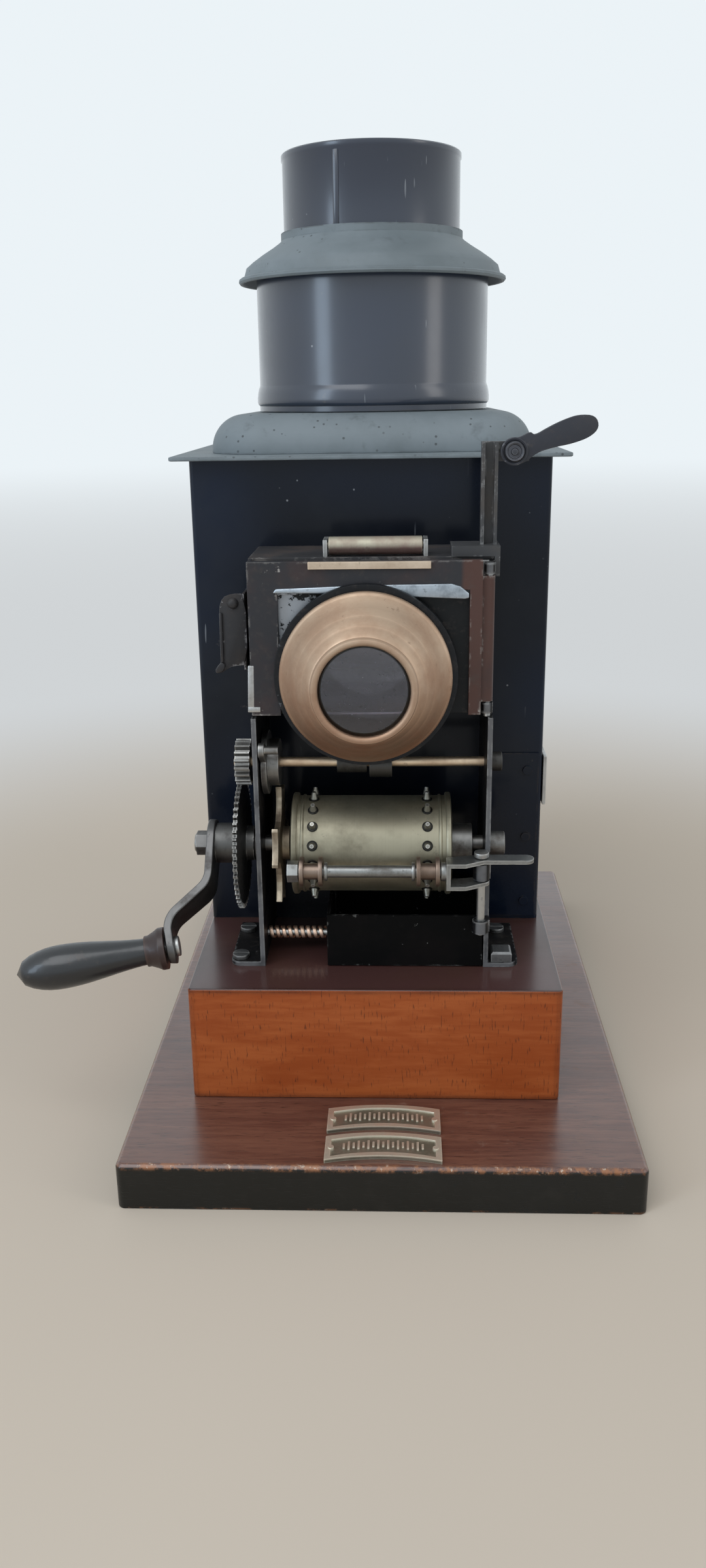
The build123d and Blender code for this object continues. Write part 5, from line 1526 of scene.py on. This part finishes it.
@dataclass
class Lens(Assembly):
    """The turned brass lens, its two glasses and the flange behind it."""

    centre: Point = (-3.1 * MM, 0.0, 117.4 * MM)
    drop: Point = (0.0, 0.0, -1.0)

    def section(self) -> list[Flat]:
        """Draws the brass mount, from the tube's back round to its bore.

        Returns:
            Its section: (radius, y) points.
        """
        return [(16.0, -46.0), (16.0, -51.3), (19.6, -51.3), (20.0, -51.7), (20.0, -53.0), (19.85, -53.35),
                (19.5, -53.6), (19.2, -53.85), (17.4, -57.4), (16.1, -59.75), (15.95, -59.95), (15.75, -60.2),
                (15.5, -60.7), (14.3, -62.6), (14.1, -62.8), (13.9, -63.0), (13.65, -63.4), (12.5, -65.05),
                (12.3, -65.2), (12.1, -65.3), (11.95, -66.3), (11.7, -66.65), (11.3, -66.75), (10.8, -66.7),
                (10.4, -66.4), (10.3, -66.1), (10.3, -64.3), (9.5, -64.3), (12.6, -58.7), (15.0, -51.3),
                (15.0, -46.0)]

    def build(self) -> None:
        """Makes and dresses the lens."""
        shop = self.shop
        # The lens brass darkens towards the bottom of the lens: painted shade under the light from above.
        brass = TurnedBrass("lens_brass", Along.Y, self.centre, (0.52, 0.385, 0.28), (0.31, 0.17, 0.105),
                            shine=0.50, lines=0.6, spread=0.35, low=(99.0 * MM, 130.0 * MM))
        paint = WornPaint("flange_black", (0.007, 0.008, 0.010), (0.012, 0.012, 0.013), (0.20, 0.21, 0.23),
                          wear=0.25, gloss=0.3)
        mount = Bench.turned("turned_lens_mount", self.section(), Along.Y, self.centre)
        shop.mount(mount, "lens", "lens_brass", brass, "lens_mount")
        glasses = Bench.shift(Bench.copied(shop.node("lens_glasses"), "lens_pair", 0.05), self.drop)
        shop.mount(Bench.smooth(glasses, 30.0), "lens", "clear_glass", ClearGlass("lens_glass"),
                   "lens_glasses")
        flange = Bench.shift(Bench.softened(shop.node("lens_flange"), "soft_lens_flange", 0.2), self.drop)
        shop.mount(flange, "gate", "black_paint", paint, "lens_flange")


@dataclass
class Crank(Assembly):
    """The gear, the jogged arm and the turning handle."""

    rim_from: float = 13.4 * MM
    rim_share: float = 0.55

    def gear(self) -> bpy.types.Object:
        """Makes the gear, with its toothed rim brought to a thin edge.

        Returns:
            The gear.
        """
        gear = Bench.copied(self.shop.node("drive_gear"), "thin_gear")
        low, high = (Vector(corner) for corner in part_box("drive_gear"))
        axis = (low + high) / 2
        rim = [v for v in gear.data.vertices if math.hypot(v.co.y - axis.y, v.co.z - axis.z) > self.rim_from]
        for vertex in rim:
            vertex.select = True
        left = min(v.co.x for v in rim)
        Bench.pick(gear)
        bpy.ops.object.mode_set(mode="EDIT")
        Bench.narrow(self.rim_share, left)
        return Bench.smooth(gear, 30.0)

    def build(self) -> None:
        """Makes and dresses the crank."""
        make = self.shop.soften
        dark = BareSteel("gear_steel", (0.12, 0.118, 0.114), (0.035, 0.03, 0.028), 0.42, 0.6,
                         (0.62, 0.61, 0.58))
        arm = BareSteel("arm_steel", (0.125, 0.122, 0.12), (0.05, 0.038, 0.034), 0.38, 0.6,
                        (0.42, 0.42, 0.41))
        brown = Lacquer("collar_brown", (0.024, 0.010, 0.008), (0.11, 0.06, 0.045), gloss=0.36, coat=0.12)
        self.shop.mount(self.gear(), "crank", "dark_steel", dark, "drive_gear")
        make("crank", "plated_steel", arm, 3, crank_arm=0.35)
        make("crank", "plated_steel", BareSteel("plated_steel"), handle_spindle=0.15)
        make("handle", "handle_wood", Lacquer("handle_black"), angle=40.0, handle_grip=0.12)
        make("handle", "collar_brown", brown, handle_ferrule=0.15)


@dataclass
class FilmDrive(Assembly):
    """The cam shaft, the star wheel, the toothed drum and the presser rollers."""

    drum: Point = (0.0, -37.5 * MM, 71.2 * MM)
    cam: Point = (0.0, -37.5 * MM, 92.8 * MM)
    presser: Point = (0.0, -53.9 * MM, 70.0 * MM)
    star_x: float = -24.75 * MM
    star_share: float = 0.62
    row_centre: float = -2.65
    row_apart: float = 28.17
    drum_radius: float = 12.1
    drum_bore: float = 2.0
    drum_wall: float = 1.2
    disc: float = 1.4
    teeth: int = 16
    tooth_phase: float = 5.4

    def shade_rings(self) -> bpy.types.Object:
        """Makes the dark ring round the foot of every film tooth: painted shade round the teeth, with oil
        grime.

        Returns:
            The rings as one piece.
        """
        r = self.drum_radius
        section = [(0.9, r - 0.3), (1.32, r - 0.3), (1.32, r + 0.16), (1.18, r + 0.26), (0.9, r + 0.26)]
        first = Bench.turned("tooth_shade_ring", section, Along.Z, (0, 0, 0), 20)
        made = []
        for side in (-0.5, 0.5):
            for index in range(self.teeth):
                piece = first.copy()
                piece.data = first.data.copy()
                bpy.context.scene.collection.objects.link(piece)
                piece.location = ((self.row_centre + side * self.row_apart) * MM, self.drum[1], self.drum[2])
                piece.rotation_euler = (math.radians(self.tooth_phase + index * 360 / self.teeth), 0, 0)
                Bench.bake_place(piece)
                made.append(piece)
        bpy.data.objects.remove(first)
        return Bench.joined("tooth_shade_rings", made)

    def barrel(self) -> bpy.types.Object:
        """Makes the hollow drum with its rims, a bead beside each rim and its two end discs.

        Returns:
            The drum.
        """
        low, high = (Vector(corner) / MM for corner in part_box("sprocket_drum"))
        r, bore, inner = self.drum_radius, self.drum_bore, self.drum_radius - self.drum_wall
        rim = (high.z - low.z) / 2
        half = [(bore, 0.0), (rim - 0.3, 0.0), (rim, 0.25), (rim, 1.1), (rim - 0.25, 1.4), (r, 1.45),
                (r, 2.3), (r + 0.22, 2.45), (r + 0.32, 2.75), (r + 0.22, 3.05), (r, 3.2)]
        outer = [(radius, low.x + away) for radius, away in half]
        outer += [(radius, high.x - away) for radius, away in reversed(half)]
        left, right = low.x + self.disc, high.x - self.disc
        section = outer + [(bore, right), (inner, right), (inner, left), (bore, left)]
        return Bench.turned("turned_drum", section, Along.X, self.drum, smooth=40.0)

    def star(self) -> bpy.types.Object:
        """Makes the star wheel, thinner than its solid and with rounded edges.

        Returns:
            The star wheel.
        """
        wheel = Bench.copied(self.shop.node("star_wheel"), "thin_star_wheel")
        Bench.open(wheel)
        Bench.narrow(self.star_share, self.star_x)
        Bench.round_edges(wheel, 0.12)
        return wheel

    def build(self) -> None:
        """Makes and dresses the film drive."""
        make, mount = self.shop.soften, self.shop.mount
        grey = BareSteel("presser_steel", (0.29, 0.295, 0.29), (0.09, 0.075, 0.06), 0.38, 0.7,
                         (0.66, 0.66, 0.64))
        dark = BareSteel("shadow_steel", (0.075, 0.072, 0.068), (0.03, 0.026, 0.022), 0.45, 0.7,
                         (0.30, 0.29, 0.27))
        dim = BareSteel("dim_steel", (0.24, 0.235, 0.225), (0.07, 0.055, 0.045), 0.40, 0.8,
                        (0.62, 0.61, 0.58))
        # Near-black for the rings round the teeth: painted shade with oil grime.
        black = BareSteel("tooth_ring_grime_and_shade", (0.016, 0.015, 0.014), (0.008, 0.007, 0.006), 0.45, 0.5,
                          (0.10, 0.10, 0.09))
        tooth = BareSteel("tooth_steel", (0.30, 0.29, 0.25), (0.05, 0.045, 0.04), 0.4)
        bronze = TurnedBrass("shaft_bronze", Along.X, self.cam, (0.82, 0.66, 0.48), (0.45, 0.28, 0.18),
                             shine=0.42)
        pale = TurnedBrass("drum_brass", Along.X, self.drum, (0.34, 0.315, 0.235), (0.185, 0.165, 0.12),
                           shine=0.46, lines=1.2, spread=0.7)
        pink = TurnedBrass("roller_brass_pink", Along.X, self.presser, (0.27, 0.205, 0.165),
                           (0.125, 0.085, 0.063), shine=0.42)
        star = TurnedBrass("star_bronze", Along.X, self.drum, (0.50, 0.43, 0.33), (0.16, 0.12, 0.09),
                           shine=0.42, lines=0.6, spread=0.9)
        make("cam", "lens_brass", bronze, cam_shaft=0.12)
        make("cam", "plated_steel", dark, cam_collars=0.2)
        make("cam", "plated_steel", dim, drive_arm=0.15, pinion=0.06)
        mount(self.star(), "drum", "plated_steel", star, "star_wheel")
        make("drum", "plated_steel", dim, drum_shaft=0.2)
        mount(self.barrel(), "drum", "drum_brass", pale, "sprocket_drum")
        mount(self.shade_rings(), "drum", "drum_brass", black)
        self.shop.dress("drum_teeth", tooth)
        make("presser", "plated_steel", grey, presser_bracket=0.16, presser_shaft=0.15)
        for side in ("left", "right"):
            make("roller_" + side, "lens_brass", pink, **{"presser_roller_" + side: 0.15})


@dataclass
class LampInside(Assembly):
    """The condenser, the oil lamp, its wick and the reflector."""

    lamp: Point = (-2.5 * MM, 26 * MM, 0)
    burnt_from: float = 98.5 * MM

    def build(self) -> None:
        """Makes and dresses the lamp."""
        make, dress = self.shop.soften, self.shop.dress
        brass = TurnedBrass("lamp_brass", Along.Z, self.lamp, (0.50, 0.40, 0.22), (0.2, 0.15, 0.08),
                            shine=0.34)
        make("stand", "black_paint", WornPaint("cell_black"), condenser_cell=0.15)
        make("lamp", "badge_brass", brass, lamp_tank=0.3, lamp_burner=0.2)
        make("wick_knob", "badge_brass", brass, wick_knob=0.15)
        for node, recipe in (("condenser_lens", ClearGlass("condenser_glass")),
                             ("wick", WovenCotton("wick_cotton", self.burnt_from)),
                             ("lamp_glass", ClearGlass("lamp_chimney_glass")),
                             ("reflector", SilveredMirror("reflector_silver"))):
            dress(node, recipe)


@dataclass(frozen=True)
class SoftLamp:
    """One soft rectangular lamp."""

    name: str
    place: Point
    aim: Point
    size: Flat
    watts: float
    colour: Colour

    def hang(self) -> None:
        """Hangs the lamp, pointed at its aim."""
        data = bpy.data.lights.new(self.name, "AREA")
        data.shape, data.size, data.size_y = "RECTANGLE", *self.size
        data.energy, data.color = self.watts, self.colour
        item = bpy.data.objects.new(self.name, data)
        bpy.context.scene.collection.objects.link(item)
        item.location = self.place
        item.rotation_euler = (Vector(self.aim) - Vector(self.place)).to_track_quat("-Z", "Y").to_euler()


@dataclass
class Studio:
    """The camera, the pale floor and the soft light."""

    place: Point = (0.00503447, -0.32473191, 0.18064094)
    yaw: float = -2.399
    pitch: float = 18.06
    roll: float = -0.854
    lens: float = 27.74
    floor_half: float = 4.0
    level: float = 0.62
    sky: Colour = (0.835, 0.895, 0.930)
    lamps: tuple[SoftLamp, ...] = (
        SoftLamp("window_lamp", (-0.40, -0.72, 1.15), (0, 0, 0.1), (0.9, 0.9), 6.0, (0.96, 0.98, 1.0)),
        SoftLamp("pane_lamp", (-0.76, -0.66, 0.42), (0, 0.02, 0.2), (0.26, 0.60), 2.2, (0.66, 0.82, 1.0)),
        SoftLamp("side_lamp", (0.95, -0.45, 0.55), (0, 0.02, 0.15), (0.30, 0.60), 1.2, (1.0, 0.97, 0.94)))

    def camera(self) -> None:
        """Sets up the camera."""
        data = bpy.data.cameras.new("camera")
        data.lens, data.sensor_width, data.sensor_fit = self.lens, 36.0, "AUTO"
        data.clip_start, data.clip_end = 0.01, 20.0
        seat = bpy.data.objects.new("camera", data)
        bpy.context.scene.collection.objects.link(seat)
        yaw, pitch, roll = (math.radians(a) for a in (self.yaw, self.pitch, self.roll))
        ahead = Vector((math.sin(yaw) * math.cos(pitch), math.cos(yaw) * math.cos(pitch), -math.sin(pitch)))
        right = Vector((math.cos(yaw), -math.sin(yaw), 0.0))
        up = right.cross(ahead)
        side = math.cos(roll) * right + math.sin(roll) * up
        head = -math.sin(roll) * right + math.cos(roll) * up
        turn = Matrix((side, head, -ahead)).transposed()
        seat.matrix_world = Matrix.Translation(self.place) @ turn.to_4x4()
        bpy.context.scene.camera = seat

    def world(self) -> None:
        """Sets up the pale surroundings, which look brighter than they shine."""
        world = bpy.data.worlds.new("surroundings")
        world.use_nodes = True
        graph = Graph(world.node_tree)
        graph.tree.nodes.clear()
        path = graph.node("ShaderNodeLightPath").outputs
        camera, glossy, through = (graph.term(path[f"Is {kind} Ray"])
                                   for kind in ("Camera", "Glossy", "Transmission"))
        strength = self.level + (1.0 - self.level) * camera.top(glossy).top(through)
        glow = graph.node("ShaderNodeBackground", None, {"Color": self.sky, "Strength": strength})
        graph.node("ShaderNodeOutputWorld", None, {"Surface": glow.outputs[0]})
        bpy.context.scene.world = world

    def floor(self) -> None:
        """Lays the floor."""
        Bench.clear()
        bpy.ops.mesh.primitive_grid_add(x_subdivisions=8, y_subdivisions=8, size=2 * self.floor_half)
        floor = bpy.context.active_object
        floor.name = floor.data.name = "floor"
        floor.data.materials.append(PaleFloor("floor_pale", self.sky).make())

    def build(self) -> None:
        """Sets up the studio."""
        self.camera()
        self.world()
        self.floor()
        for lamp in self.lamps:
            lamp.hang()
        bpy.context.scene.view_settings.view_transform = "Standard"


def main() -> None:
    """Builds every sub-assembly in order."""
    logging.basicConfig(level=logging.INFO, format="%(message)s")
    for item in list(bpy.data.objects):
        bpy.data.objects.remove(item)
    shop = Shop()
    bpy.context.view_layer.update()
    Studio().build()
    for part in (Base, LampHouse, Chimney, Plates, ReelArm, GateTop, FilmChannel, Gate, Lens, Crank,
                 FilmDrive, LampInside):
        part(shop).build()


if __name__ == "__main__":
    main()
